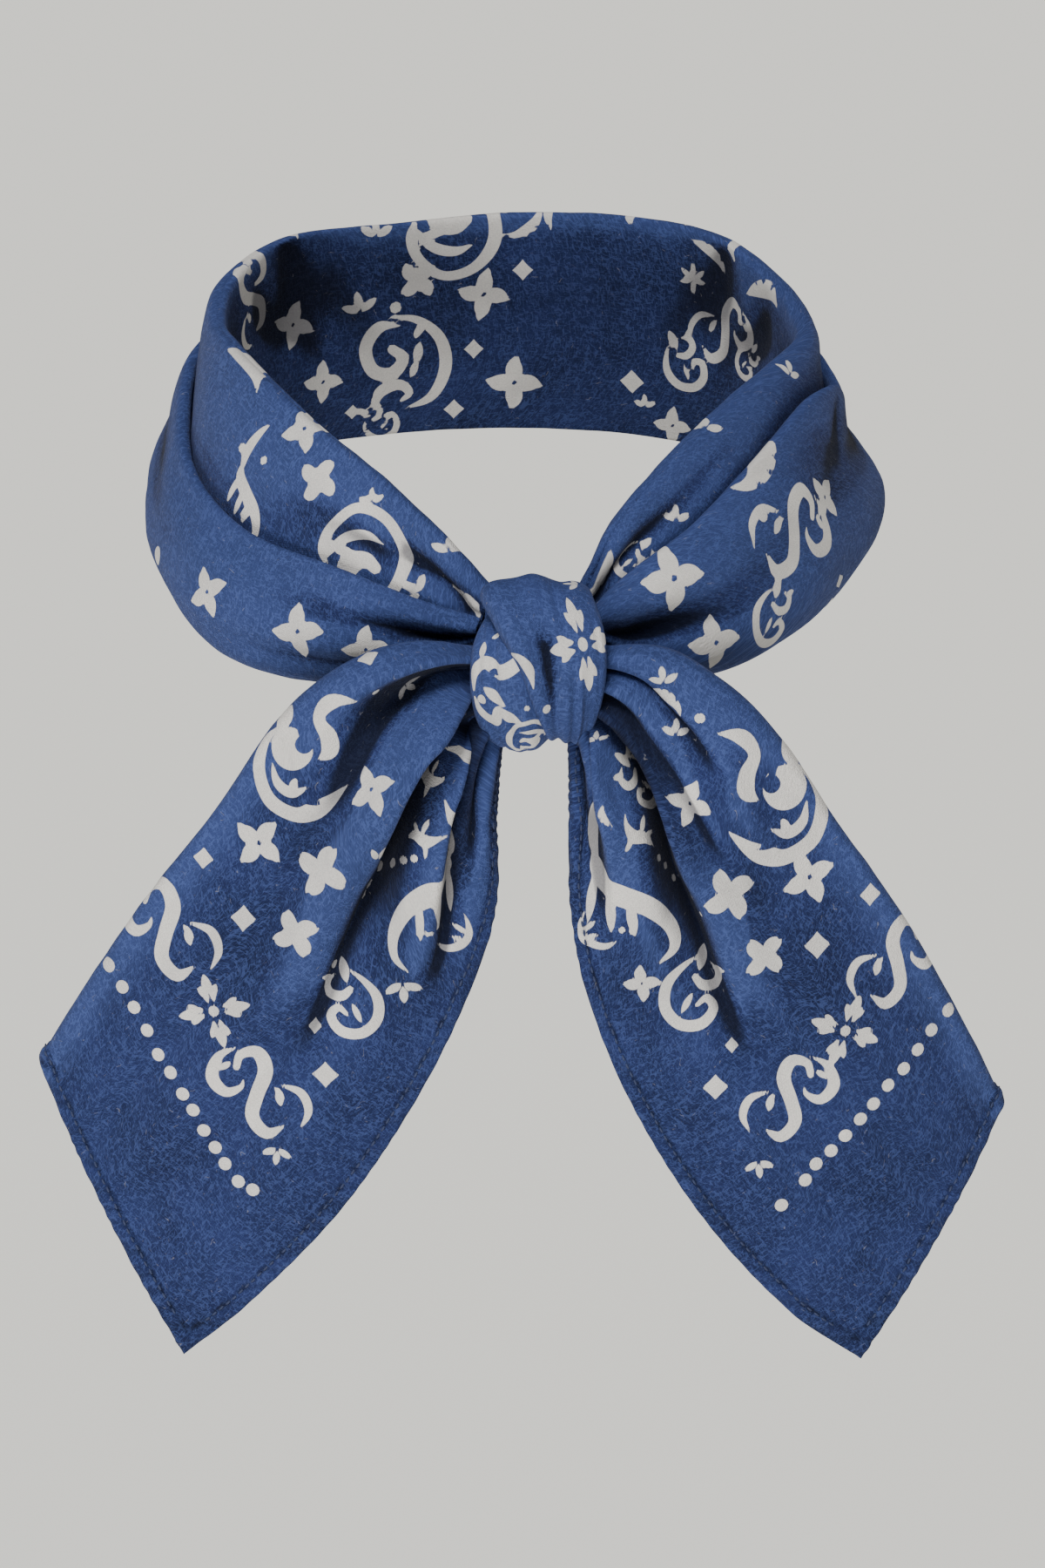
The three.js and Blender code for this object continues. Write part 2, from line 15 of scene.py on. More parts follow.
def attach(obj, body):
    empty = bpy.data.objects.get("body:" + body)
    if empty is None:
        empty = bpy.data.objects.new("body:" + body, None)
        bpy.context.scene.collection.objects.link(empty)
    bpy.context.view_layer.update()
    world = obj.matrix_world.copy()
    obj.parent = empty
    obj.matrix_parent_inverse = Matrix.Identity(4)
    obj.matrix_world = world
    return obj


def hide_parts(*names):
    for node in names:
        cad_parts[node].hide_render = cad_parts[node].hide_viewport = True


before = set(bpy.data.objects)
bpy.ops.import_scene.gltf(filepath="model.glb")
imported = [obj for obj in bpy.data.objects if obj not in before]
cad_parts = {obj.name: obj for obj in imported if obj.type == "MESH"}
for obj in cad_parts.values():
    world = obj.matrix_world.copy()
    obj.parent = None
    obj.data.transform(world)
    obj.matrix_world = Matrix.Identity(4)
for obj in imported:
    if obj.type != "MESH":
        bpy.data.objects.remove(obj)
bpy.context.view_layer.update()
print("solids in the frame:", ", ".join(sorted(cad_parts)))

# %% [markdown]
# ## Camera, light and floor
# A product photograph of a soft thing is taken with a long lens from a little above, in even light. A 100 mm
# lens keeps the loop from looking stretched. A high soft sun models the folds, and a wide soft box low in front
# lights the tails but not the inside of the loop. The pale floor lies so far below that no shadow reaches it.

# %% Camera
MM = 0.001
VIEW_DISTANCE, VIEW_HEIGHT, VIEW_TILT = 0.925, -0.079, radians(20)
lens = bpy.data.cameras.new("camera")
lens.lens, lens.sensor_width, lens.sensor_fit = 100, 36, "AUTO"
camera = bpy.data.objects.new("camera", lens)
camera.location = (0, -VIEW_DISTANCE * cos(VIEW_TILT), VIEW_HEIGHT + VIEW_DISTANCE * sin(VIEW_TILT))
camera.rotation_euler = (pi / 2 - VIEW_TILT, 0, 0)
bpy.context.collection.objects.link(camera)
bpy.context.scene.camera = camera
print("camera at", [round(c, 3) for c in camera.location])

# %% Light
SKY = (0.9, 0.92, 0.95, 1)
world = bpy.data.worlds.new("studio")
bpy.context.scene.world = world
world.use_nodes = True
world.node_tree.nodes["Background"].inputs["Color"].default_value = SKY
world.node_tree.nodes["Background"].inputs["Strength"].default_value = 0.19


def lamp(name, kind, strength, place, tilt, turn, **settings):
    light = bpy.data.lights.new(name, kind)
    light.energy = strength
    for key, value in settings.items():
        setattr(light, key, value)
    made = bpy.data.objects.new(name, light)
    made.location = place
    made.rotation_euler = (radians(tilt), 0, radians(turn))
    bpy.context.collection.objects.link(made)


lamp("key_sun", "SUN", 3.4, (0, 0, 1), 29, -24, angle=radians(24))
lamp("low_soft_box", "AREA", 23, (-0.35, -1.5, -0.55), 108, -13, shape="RECTANGLE", size=1.3, size_y=0.7)
print("a high sun, a low soft box and a grey sky")

# %% Floor
FLOOR_DROP, FLOOR_SIZE = -1.5, 60
floor_mesh = bpy.data.meshes.new("floor")
bm = bmesh.new()
bmesh.ops.create_grid(bm, x_segments=1, y_segments=1, size=FLOOR_SIZE / 2)
bmesh.ops.translate(bm, verts=bm.verts, vec=(0, 0, FLOOR_DROP))
bm.to_mesh(floor_mesh)
bm.free()
floor = bpy.data.objects.new("floor", floor_mesh)
bpy.context.collection.objects.link(floor)
floor_paint = bpy.data.materials.new("floor_paint")
floor_paint.use_nodes = True
shader = floor_paint.node_tree.nodes["Principled BSDF"]
shader.inputs["Base Color"].default_value = (0.92, 0.905, 0.84, 1)
shader.inputs["Roughness"].default_value = 1.0
shader.inputs["Specular IOR Level"].default_value = 0.0
floor_mesh.materials.append(floor_paint)
print("floor at", FLOOR_DROP, "m")

# %% [markdown]
# ## Where the cloth lies
# The band and the tails of a tied bandana are long shapes whose cross-section changes slowly along the way. So
# each one is kept as a short table of sections: where its edges are, in millimetres, and how far the cloth
# swells between them. A smooth curve through each column gives a point of the surface for any two places, one
# along the piece and one across it. The tables are the ones that the solids were made from, so the thin cloth
# lies on its solid. Sculpting by hand would give the same look, but its edges would drift off the solids.

# %% Sizes and tables
BAND_WALL, SEAM_GAP = 1.2, 0.35  # a solid's cloth, and the gap between the band's two stretches, mm
FOLD_RADIUS, LIP_RADIUS = 1.7, 1.0  # of a tail's folded edge and of the outer fold's lip, mm
FLAP_SLANT, END_BOW = 0.52, 1.4  # how much shorter the flap is, and how far the short hem bows out, mm


def table(columns, *rows):
    """A table with named columns, each an array."""
    return dict(zip(columns.split(), np.array(rows, float).T))


print("sizes of folds and gaps, mm:", BAND_WALL, SEAM_GAP, FOLD_RADIUS, LIP_RADIUS)

# %% The band's sections
BAND = table(
    "at rimX rimY rimZ footX footY footZ lip roll tuck swell flare inset",
    (0.0, -6, -63, -16.5, -9, -64, -27, 0.5, 1.1, 0, 0.9, 0.7, 3.5),
    (0.03, -14.5, -59.5, -7.5, -19, -63, -32, 0.5, 1.3, 0, 2.2, 1.9, 5),
    (0.07, -27, -50.5, 2, -37.5, -59, -36, 0.48, 1.5, 0, 3.4, 3.0, 6.5),
    (0.13, -44, -34, 11.5, -59, -45, -35, 0.52, 1.6, 0, 4.0, 3.8, 7.5),
    (0.2, -58, -14, 19.5, -69, -24, -29.5, 0.51, 1.6, 0.4, 3.4, 4.0, 8),
    (0.25, -62.5, 4, 21, -72, 0, -23.5, 0.44, 1.6, 1, 2.0, 3.8, 8),
    (0.3, -61, 23, 25, -71, 25, -19, 0.38, 1.6, 0.8, 2.4, 3.0, 8),
    (0.36, -49.5, 41.5, 29.5, -57, 48, -17, 0.34, 1.5, 0, 3.0, 2.8, 8),
    (0.43, -26, 52.5, 30, -30, 61, -16, 0.32, 1.5, 0, 3.0, 2.8, 8),
    (0.5, 0, 56.5, 31, 0, 64.5, -16, 0.32, 1.5, 0, 3.0, 2.8, 8),
    (0.57, 23, 53.5, 31, 28, 61, -16.5, 0.32, 1.5, 0, 3.0, 2.8, 8),
    (0.64, 42, 42.5, 29, 52, 49, -18, 0.34, 1.6, 0.4, 2.4, 3.0, 8),
    (0.7, 53.5, 25, 23.5, 65, 28, -20, 0.37, 1.9, 1.4, -0.4, 2.8, 8),
    (0.74, 57.5, 9, 19.5, 69, 7, -22.5, 0.36, 1.9, 1.5, -0.8, 2.8, 8),
    (0.77, 57, -3, 18.5, 68, -8, -25.5, 0.25, 1.7, 1.2, 0, 3.0, 8),
    (0.81, 51.5, -16, 17, 63.5, -23, -28.5, 0.2, 1.4, 0.3, 1.6, 3.4, 8),
    (0.87, 41, -32.5, 13, 54, -41.5, -31.5, 0.25, 1.5, 0, 3.4, 3.6, 7.5),
    (0.93, 26.5, -50.5, 4.5, 38, -58, -34, 0.32, 1.5, 0, 3.4, 3.2, 6.5),
    (0.97, 17.5, -59.5, -4, 22, -63, -32.5, 0.35, 1.3, 0, 2.2, 2.0, 5),
    (1.0, 11.5, -63, -15.5, 15, -64, -27, 0.38, 1.1, 0, 0.9, 0.7, 3.5),
)
print("band:", len(BAND["at"]), "sections round the neck")

# %% The band's pleats
# Each row: the pleat's place across the band at its start, middle and end, where on the way round it starts and
# ends, how far it stands up or dips in, and how wide it is.
INNER_PLEATS = [
    (0.83, 0.86, 0.88, 0, 0.15, -1.8, 0.045),
    (0.86, 0.84, 0.82, 1, 0.86, -1.2, 0.045),
    (0.4, 0.32, 0.2, 0.33, 0.44, -2.0, 0.1),
    (0.4, 0.32, 0.2, 0.67, 0.57, -2.0, 0.1),
]
OUTER_PLEATS = [
    (0.55, 0.5, 0.5, 0, 0.12, -2.0, 0.05),
    (0.72, 0.68, 0.66, 0, 0.2, -1.6, 0.07),
    (0.62, 0.58, 0.6, 1, 0.84, -2.6, 0.08),
    (0.5, 0.52, 0.55, 0.33, 0.17, -1.0, 0.06),
    (0.62, 0.7, 0.76, 0.71, 0.86, 1.6, 0.06),
]
print("band pleats:", len(INNER_PLEATS), "inside and", len(OUTER_PLEATS), "outside")

# %% The tails' sections
LEFT_TAIL = table(
    "at outX outY outZ inX inY inZ crown",
    (0.0, -6, -71, -26, -5, -72, -44, 2),
    (0.09, -20, -76, -23, -6, -77, -58, 3),
    (0.2, -34, -78.5, -27, -6, -81, -75, 4),
    (0.32, -46, -79, -37, -11, -84, -92, 4),
    (0.5, -60, -79, -57, -22, -86, -115, 3.5),
    (0.68, -74, -77, -76, -36, -86, -137, 3),
    (0.88, -88, -73, -98, -55, -84, -159, 2),
    (1.0, -96, -70, -112, -68, -82, -171, 1),
)
RIGHT_TAIL = table(
    "at outX outY outZ inX inY inZ crown",
    (0.0, 11, -71, -26, 10, -72, -43, 2),
    (0.09, 26, -75.5, -24, 10, -77, -58, 3),
    (0.2, 38, -78, -30, 10, -81, -75, 4),
    (0.32, 48, -79, -40, 13, -84, -92, 4),
    (0.5, 61, -79, -59, 22, -86, -115, 3.5),
    (0.68, 75, -77, -80, 36, -86, -139, 3),
    (0.88, 89, -73, -106, 54, -84, -161, 2),
    (1.0, 96, -70, -121, 68, -82, -172, 1),
)
print("tails:", len(LEFT_TAIL["at"]), "and", len(RIGHT_TAIL["at"]), "sections")

# %% The tails' pleats
# Each row: place across the tail at the knot, at 0.15, 0.35 and 0.7 of its length, height, width, reach and lean.
LEFT_PLEATS = [
    (0.05, 0.05, 0.1, 0.14, 2.2, 0.09, 0.55, 0),
    (0.2, 0.21, 0.27, 0.31, -4.2, 0.07, 0.42, 0),
    (0.36, 0.37, 0.4, 0.53, 3.8, 0.09, 0.85, 0.5),
    (0.45, 0.48, 0.48, 0.63, -4.4, 0.055, 0.8, 0),
    (0.58, 0.68, 0.75, 0.76, 2.4, 0.06, 0.5, 0),
    (0.68, 0.79, 0.83, 0.84, -2.2, 0.05, 0.36, 0),
    (0.85, 0.9, 0.92, 0.92, 1.4, 0.06, 0.5, 0),
]
RIGHT_PLEATS = [
    (0.02, 0.05, 0.08, 0.1, 2.2, 0.07, 0.5, 0),
    (0.13, 0.16, 0.2, 0.22, -3.4, 0.06, 0.4, 0),
    (0.2, 0.21, 0.22, 0.24, 2.4, 0.06, 0.7, 0),
    (0.27, 0.28, 0.31, 0.33, -2.2, 0.05, 0.45, 0),
    (0.35, 0.36, 0.43, 0.5, 3.6, 0.07, 0.85, 0.4),
    (0.43, 0.47, 0.52, 0.58, -4.4, 0.055, 0.75, 0),
    (0.64, 0.68, 0.7, 0.72, 2.2, 0.08, 0.5, 0),
    (0.8, 0.86, 0.88, 0.9, -1.8, 0.05, 0.32, 0),
]


print("tail pleats:", len(LEFT_PLEATS), "and", len(RIGHT_PLEATS))


# %% Curves through a table
def through(rows, name, t):
    """A smooth curve through one column of a table."""
    at, value = rows["at"], rows[name]
    n = np.arange(len(at))
    a, b = np.maximum(n - 1, 0), np.minimum(n + 1, len(at) - 1)
    slope = (value[b] - value[a]) / (at[b] - at[a])
    i = np.clip(np.searchsorted(at, t) - 1, 0, len(at) - 2)
    span = at[i + 1] - at[i]
    k = (t - at[i]) / span
    return (
        value[i] * (1 + 2 * k) * (1 - k) ** 2
        + value[i + 1] * k * k * (3 - 2 * k)
        + span * (slope[i] * k * (1 - k) ** 2 - slope[i + 1] * k * k * (1 - k))
    )


def point(rows, name, t):
    return np.stack([through(rows, name + axis, t) for axis in "XYZ"], -1)


def smoothstep(low, high, x):
    k = np.clip((x - low) / (high - low), 0, 1)
    return k * k * (3 - 2 * k)


def unit(v):
    return v / np.maximum(np.linalg.norm(v, axis=-1, keepdims=True), 1e-9)


def line_through(points, k):
    """A smooth line through the section's points, at k from 0 to 1."""
    last = len(points) - 1
    i = np.minimum(last - 1, np.floor(k * last)).astype(int)
    f = (k * last - i)[..., None]
    where = np.arange(len(k))
    a, b, c, d = [points[np.clip(i + n, 0, last), where] for n in (-1, 0, 1, 2)]
    return 0.5 * (2 * b + (c - a) * f + (2 * a - 5 * b + 4 * c - d) * f * f + (3 * b - a - 3 * c + d) * f**3)


print("curves go through every row of a table")


# %% The band
def band_frame(u):
    rim, foot = point(BAND, "rim", u), point(BAND, "foot", u)
    ahead = sum(point(BAND, e, u + 0.004) - point(BAND, e, u - 0.004) for e in ("rim", "foot"))
    height = np.linalg.norm(foot - rim, axis=-1)
    down = unit(foot - rim)
    row = {n: through(BAND, n, u) for n in ("lip", "roll", "tuck", "swell", "flare", "inset")}
    return dict(row, rim=rim, down=down, out=unit(np.cross(ahead, down)), height=height)


def inner_section(f):
    h, roll, tuck, inset = f["height"], f["roll"], f["tuck"], f["inset"]
    lip_at = f["lip"] * h
    rows = [
        (h - 1.2, -inset),
        (0.68 * h, -inset * 0.85),
        (0.36 * h, -inset * 0.45 - roll * 0.5),
        (roll * 1.1, -roll),
        (0 * h, 0 * h),
        (roll * 1.1, roll),
        (lip_at * 0.55 + roll * 0.5, roll - tuck * 0.6 + np.maximum(0, f["swell"]) * 0.3),
        (np.minimum(lip_at + 3.5 + 0.05 * h, h - 4), roll * 0.75 - tuck),
    ]
    return np.array(rows).transpose(0, 2, 1)


def outer_section(f):
    h, roll, inset, flare = f["height"], f["roll"], f["inset"], f["flare"]
    top = f["lip"] * h
    rest = h - top
    clear = BAND_WALL + SEAM_GAP
    inside = roll - f["tuck"] + clear
    rows = [
        (top + 3.2 + 0.05 * h, inside + 0.4 - roll * 0.15),
        (top + LIP_RADIUS, inside + 0.2),
        (top - 0.4, inside + 0.2 + LIP_RADIUS),
        (top + LIP_RADIUS, inside + 0.2 + 2 * LIP_RADIUS),
        (top + rest * 0.35, roll + clear + f["swell"] + LIP_RADIUS * 0.4),
        (top + rest * 0.72, roll + clear + flare),
        (h - 1.6, clear + flare * 0.25),
        (h, -inset * 0.3),
        (h - 1.4, -inset + clear + 0.3),
    ]
    return np.array(rows).transpose(0, 2, 1)


print("band sections run from foot to rim and down again")


# %% Pleats over the band
def band_lift(pleats, u, k):
    lift = np.zeros_like(u)
    for s0, s1, s2, u0, u1, height, width in pleats:
        share = (u - u0) / (u1 - u0)
        at = s0 + (s1 - s0) * smoothstep(0, 0.5, share) + (s2 - s1) * smoothstep(0.5, 1, share)
        ends = 0.4 + 0.6 * smoothstep(0, 0.2, share) if u0 in (0, 1) else smoothstep(0, 0.3, share)
        shape = height * np.exp(-(((k - at) / width) ** 2)) * ends * (1 - smoothstep(0.25, 1, share))
        lift += np.where((share < 0) | (share > 1), 0, shape)
    return lift


def band_point(section, pleats, u, k):
    f = band_frame(u)
    line = section(f)
    ab = line_through(line, k)
    step = line_through(line, np.minimum(1, k + 0.01)) - line_through(line, np.maximum(0, k - 0.01))
    step = unit(step)
    lift = band_lift(pleats, u, k)
    a = ab[:, 0] - lift * step[:, 1]
    b = ab[:, 1] + lift * step[:, 0]
    return f["rim"] + f["down"] * a[:, None] + f["out"] * b[:, None]


print("band at its front:", band_frame(np.array([0.0]))["rim"][0])


# %% The tails
def fold_place(v0, v1, v2, v3, u):
    """Where a fold lies across a tail, from its places at the knot and at 0.15, 0.35 and 0.7 of the length."""
    place = v0 + (v1 - v0) * smoothstep(0, 0.15, u)
    return place + (v2 - v1) * smoothstep(0.15, 0.35, u) + (v3 - v2) * smoothstep(0.35, 0.7, u)


def tail_lift(pleats, u, v):
    lift, lean = np.zeros_like(u), np.zeros_like(u)
    for v0, v1, v2, v3, height, width, reach, lean_by in pleats:
        at = fold_place(v0, v1, v2, v3, u)
        shape = np.exp(-(((v - at) / (width * (1 + 0.6 * u))) ** 2))
        fade = (1 - smoothstep(0.05, reach, u)) * (0.75 + 0.25 * smoothstep(0, 0.1, u))
        lift += height * shape * fade
        lean += lean_by * height * shape * fade
    return lift, lean


def tail_point(rows, pleats, t, v):
    behind = v < 0
    share = np.abs(v)
    u = np.where(behind, t * (1 - FLAP_SLANT * share), t)
    outer, inner = point(rows, "out", u), point(rows, "in", u)
    across = unit(inner - outer)
    width = np.linalg.norm(inner - outer, axis=-1)
    along = unit(sum(point(rows, e, u + 0.01) - point(rows, e, u - 0.01) for e in ("out", "in")))
    front = unit(np.cross(across, along))
    front = np.where(front[:, 1:2] > 0, -front, front)
    a = share * width
    turn = np.where(a < FOLD_RADIUS, np.sqrt(np.maximum(0, FOLD_RADIUS**2 - (FOLD_RADIUS - a) ** 2)),
        FOLD_RADIUS)
    lift, lean = tail_lift(pleats, u, share)
    crown = through(rows, "crown", u) * 4 * share * (1 - share)
    depth = np.where(behind, np.minimum(lift, 0) + crown - FOLD_RADIUS - turn,
        lift + crown - FOLD_RADIUS + turn)
    aside = a + np.where(behind, 0, lean * smoothstep(0, 0.2, share))
    bow = END_BOW * 4 * share * (1 - share) * u**6
    return outer + across * aside[:, None] + along * bow[:, None] + front * depth[:, None]


def grid(surface, us, vs):
    """Points of a surface on a grid of places, as an array of rows."""
    u, v = np.meshgrid(us, vs, indexing="ij")
    return surface(u.ravel(), v.ravel()).reshape(len(us), len(vs), 3)


print("left tail's tip:", tail_point(LEFT_TAIL, LEFT_PLEATS, np.ones(1), np.ones(1))[0])

# %% [markdown]
# ## Cotton and ink
# Close up, plain-woven cotton is a grid of threads of uneven thickness. The dye is deeper in some threads than in
# others, so the blue looks mottled, and short loose fibres catch the light. The weave, the mottling and the
# fibres are one node group, which reads the flat cloth's millimetres so that the threads follow the cloth. A
# photograph of cloth would be quicker, but it repeats and blurs close up, and nodes stay sharp at any size.

# %% Node helpers
def paint(r, g, b):
    """A colour as a picture program gives it, 0 to 255, in the linear light that a shader wants."""
    return [((c / 255 + 0.055) / 1.055) ** 2.4 if c > 10 else c / 255 / 12.92 for c in (r, g, b)] + [1]


def node(tree, kind, values=(), **settings):
    """Adds a node, sets its options, and joins or sets its inputs in order."""
    made = tree.nodes.new(kind)
    for name, value in settings.items():
        setattr(made, name, value)
    for key, value in dict(values).items():
        if isinstance(value, bpy.types.NodeSocket):
            tree.links.new(value, made.inputs[key])
        else:
            made.inputs[key].default_value = value
    return made


def sums(tree, operation, a, b=0.0, clamp=False):
    return node(tree, "ShaderNodeMath", {0: a, 1: b}, operation=operation, use_clamp=clamp).outputs[0]


def noise(tree, place, scale, detail=2.0, stretch=(1, 1, 1), rough=0.5):
    laid = node(tree, "ShaderNodeMapping", {"Vector": place, "Scale": stretch}).outputs[0]
    sockets = {"Vector": laid, "Scale": scale, "Detail": detail, "Roughness": rough}
    return node(tree, "ShaderNodeTexNoise", sockets).outputs["Fac"]


def ramp(tree, value, low, high, to_low=0.0, to_high=1.0):
    sockets = {"Value": value, "From Min": low, "From Max": high, "To Min": to_low, "To Max": to_high}
    return node(tree, "ShaderNodeMapRange", sockets, clamp=True, interpolation_type="SMOOTHSTEP").outputs[0]


def mix(tree, share, a, b, blend="MIX"):
    made = node(tree, "ShaderNodeMix", {0: share, 6: a, 7: b}, data_type="RGBA", blend_type=blend)
    return made.outputs[2]


print("colours and nodes: paint, node, sums, noise, ramp, mix")


# %% The cotton group
def cotton_group():
    tree = bpy.data.node_groups.new("woven_cotton", "ShaderNodeTree")
    face = tree.interface
    face.new_socket("Cloth", in_out="INPUT", socket_type="NodeSocketVector")
    for name in ("Height", "Mottle", "Threads", "Fibres"):
        face.new_socket(name, in_out="OUTPUT", socket_type="NodeSocketFloat")
    place = tree.nodes.new("NodeGroupInput").outputs[0]
    wobble = noise(tree, place, 0.35, 1.0)
    split = node(tree, "ShaderNodeSeparateXYZ", {0: place})
    turns = 2 * pi / THREAD
    threads = []
    for axis, sway in ((0, 6.0), (1, 7.0)):
        steps = sums(tree, "MULTIPLY", split.outputs[axis], turns)
        threads.append(sums(tree, "SINE", sums(tree, "ADD", steps, sums(tree, "MULTIPLY", wobble, sway))))
    weave = sums(tree, "MULTIPLY", *threads)
    slub_x = noise(tree, place, 2.8, 1.5, (1.0, 0.3, 1))
    slub_y = noise(tree, place, 2.8, 1.5, (0.3, 1.0, 1))
    crackle = []
    for stretch in ((1, 0.4, 1), (0.4, 1, 1)):
        level = sums(tree, "ABSOLUTE", sums(tree, "SUBTRACT", noise(tree, place, 0.85, 1.0, stretch), 0.5))
        crackle.append(ramp(tree, level, 0.0, 0.04, 0.5, 0.0))
    slubs = sums(tree, "ADD", sums(tree, "ADD", slub_x, slub_y), sums(tree, "MAXIMUM", *crackle))
    grit = noise(tree, place, 2.6, 2.0, rough=0.6)
    cloud = noise(tree, place, 0.045, 4.0, rough=0.6)
    drift = node(tree, "ShaderNodeTexNoise", {"Vector": place, "Scale": 0.4}).outputs["Color"]
    drift = node(tree, "ShaderNodeVectorMath", {0: drift, 1: (3.5, 3.5, 0)}, operation="MULTIPLY").outputs[0]
    bent = node(tree, "ShaderNodeVectorMath", {0: place, 1: drift}, operation="ADD").outputs[0]
    fibre = noise(tree, bent, 3.0, 0.5, (1, 0.16, 1))
    fleck = noise(tree, bent, 3.0, 0.5, (0.2, 1, 1))
    height = sums(tree, "ADD", sums(tree, "MULTIPLY", weave, 0.3), sums(tree, "ADD", slubs, grit))
    mottle = sums(tree, "ADD", sums(tree, "MULTIPLY", cloud, 0.62), sums(tree, "MULTIPLY", grit, 0.38))
    out = tree.nodes.new("NodeGroupOutput")
    tree.links.new(height, out.inputs["Height"])
    tree.links.new(ramp(tree, mottle, 0.3, 0.7), out.inputs["Mottle"])
    tree.links.new(ramp(tree, slubs, 0.85, 1.6), out.inputs["Threads"])
    tree.links.new(ramp(tree, sums(tree, "MAXIMUM", fibre, fleck), 0.75, 0.83), out.inputs["Fibres"])
    return tree


THREAD = 0.42  # from one thread to the next, mm
COTTON = cotton_group()
print("weave with a thread each", THREAD, "mm")


# %% [markdown]
# ## Dye, print and painted shade in one material
# Indigo cotton is darkest where folds shade it and palest on crests, where light falls and wear takes the dye
# off. Lamps alone make some of that. The rest is painted: shade at the bottom of folds, and a paler blue on crests
# that is partly wear and partly painted highlight. Both come from a number kept on each vertex, fold, which is 1
# on a crest and -1 at the bottom of a fold, so it stays with the cloth in every view. A second number, ink, says
# where the print is.

# %% Cloth materials
# The third blue is that of worn threads and of crests, where it is also painted highlight.
DYE_DEEP, DYE, DYE_WORN_AND_LIT = paint(18, 24, 50), paint(36, 45, 86), paint(66, 82, 134)
# Painted shade: the near-black blue that the bottom of a fold turns towards.
PAINTED_SHADE_BLUE = paint(9, 13, 27)
# INK and INK_THIN are the print's own white; the third is painted shade for print at the bottom of a fold.
INK, INK_THIN, PAINTED_SHADE_WHITE = paint(214, 210, 204), paint(180, 177, 174), paint(72, 72, 80)


def cloth_paint(name, ink_strength, pale):
    """Dyed cotton with the print on it. On the wrong side the ink shows through more weakly."""
    material = bpy.data.materials.new(name)
    material.use_nodes = True
    tree = material.node_tree
    shader = tree.nodes["Principled BSDF"]
    cloth = node(tree, "ShaderNodeAttribute", attribute_name="cloth").outputs["Vector"]
    inside = node(tree, "ShaderNodeAttribute", attribute_name="ink").outputs["Fac"]
    cotton = node(tree, "ShaderNodeGroup", {0: cloth}, node_tree=COTTON)
    dye = mix(tree, cotton.outputs["Mottle"], DYE_DEEP, DYE)
    fold = node(tree, "ShaderNodeAttribute", attribute_name="fold").outputs["Fac"]
    # Painted highlight, partly wear: crests turn towards the pale worn blue.
    crest = ramp(tree, fold, 0.15, 1.0, 0.0, 0.36)
    worn = sums(tree, "MULTIPLY", cotton.outputs["Threads"], 0.44 + pale)
    dye = mix(tree, sums(tree, "ADD", worn, crest, True), dye, DYE_WORN_AND_LIT)
    # Painted shade: the bottom of a fold turns towards a near-black blue.
    painted_valley_shade = ramp(tree, fold, -0.05, -1.0, 0.0, 0.88)
    dye = mix(tree, painted_valley_shade, dye, PAINTED_SHADE_BLUE)
    dye = mix(tree, sums(tree, "MULTIPLY", cotton.outputs["Fibres"], 0.2), dye, INK_THIN)
    white = mix(tree, cotton.outputs["Mottle"], INK_THIN, INK)
    # Painted shade on the print too, at the bottom of folds.
    white = mix(tree, sums(tree, "MULTIPLY", painted_valley_shade, 0.8), white, PAINTED_SHADE_WHITE)
    edge = sums(tree, "ADD", inside, ramp(tree, cotton.outputs["Height"], 0.6, 1.4, -0.03, 0.03))
    printed_here = ramp(tree, edge, -0.07, 0.09, 0.0, ink_strength)
    colour = mix(tree, printed_here, dye, white)
    relief = {"Height": cotton.outputs["Height"], "Strength": 0.5, "Distance": 0.0003}
    bump = node(tree, "ShaderNodeBump", relief)
    tree.links.new(colour, shader.inputs["Base Color"])
    tree.links.new(bump.outputs[0], shader.inputs["Normal"])
    tree.links.new(ramp(tree, cotton.outputs["Threads"], 0, 1, 0.95, 0.8), shader.inputs["Roughness"])
    shader.inputs["Specular IOR Level"].default_value = 0.12
    shader.inputs["Sheen Weight"].default_value = 0.03
    shader.inputs["Sheen Roughness"].default_value = 0.45
    return material


right_side = cloth_paint("printed_cotton", 1.0, 0.0)
wrong_side = cloth_paint("cotton_wrong_side", 0.55, 0.2)
print("materials:", right_side.name, wrong_side.name)

# %% [markdown]
# ## From a surface to a piece of cloth
# Each piece starts as Blender's flat grid. Every vertex of it is then laid on the surface, and a Solidify
# modifier gives the cloth its thickness, thicker along a hem. The same grid gives the flat cloth: the length
# along its rows and columns is the way over the cloth itself, so a motif is laid out in real millimetres.

# %% A flat grid
CLOTH, HEMMED = 0.5, 1.3  # thickness of one layer and of a sewn hem, mm


def grid_object(name, columns, rows):
    """A flat grid of columns x rows spans, with the row and column of each vertex."""
    bm = bmesh.new()
    bmesh.ops.create_grid(bm, x_segments=rows, y_segments=columns, size=1)
    mesh = bpy.data.meshes.new(name)
    bm.to_mesh(mesh)
    bm.free()
    flat = np.empty(len(mesh.vertices) * 3)
    mesh.vertices.foreach_get("co", flat)
    x, y = flat.reshape(-1, 3)[:, :2].T
    i = np.rint((x - x.min()) / (x.max() - x.min()) * rows).astype(int)
    j = np.rint((y - y.min()) / (y.max() - y.min()) * columns).astype(int)
    obj = bpy.data.objects.new(name, mesh)
    bpy.context.collection.objects.link(obj)
    return obj, i, j


print("one layer of cloth", CLOTH, "mm, a hem", HEMMED, "mm")


# %% The cloth laid flat
def facing(points, toward):
    """The outward direction at each point of a grid."""
    n = unit(np.cross(np.gradient(points, axis=0), np.gradient(points, axis=1)))
    return n if np.sum(n * toward) > 0 else -n


def flat_cloth(points):
    """How far each point lies from the first column and from the first row, over the cloth, in mm."""
    across = np.linalg.norm(np.diff(points, axis=1), axis=-1).cumsum(1)
    along = np.linalg.norm(np.diff(points, axis=0), axis=-1).cumsum(0)
    return np.pad(across, ((0, 0), (1, 0))), np.pad(along, ((1, 0), (0, 0)))


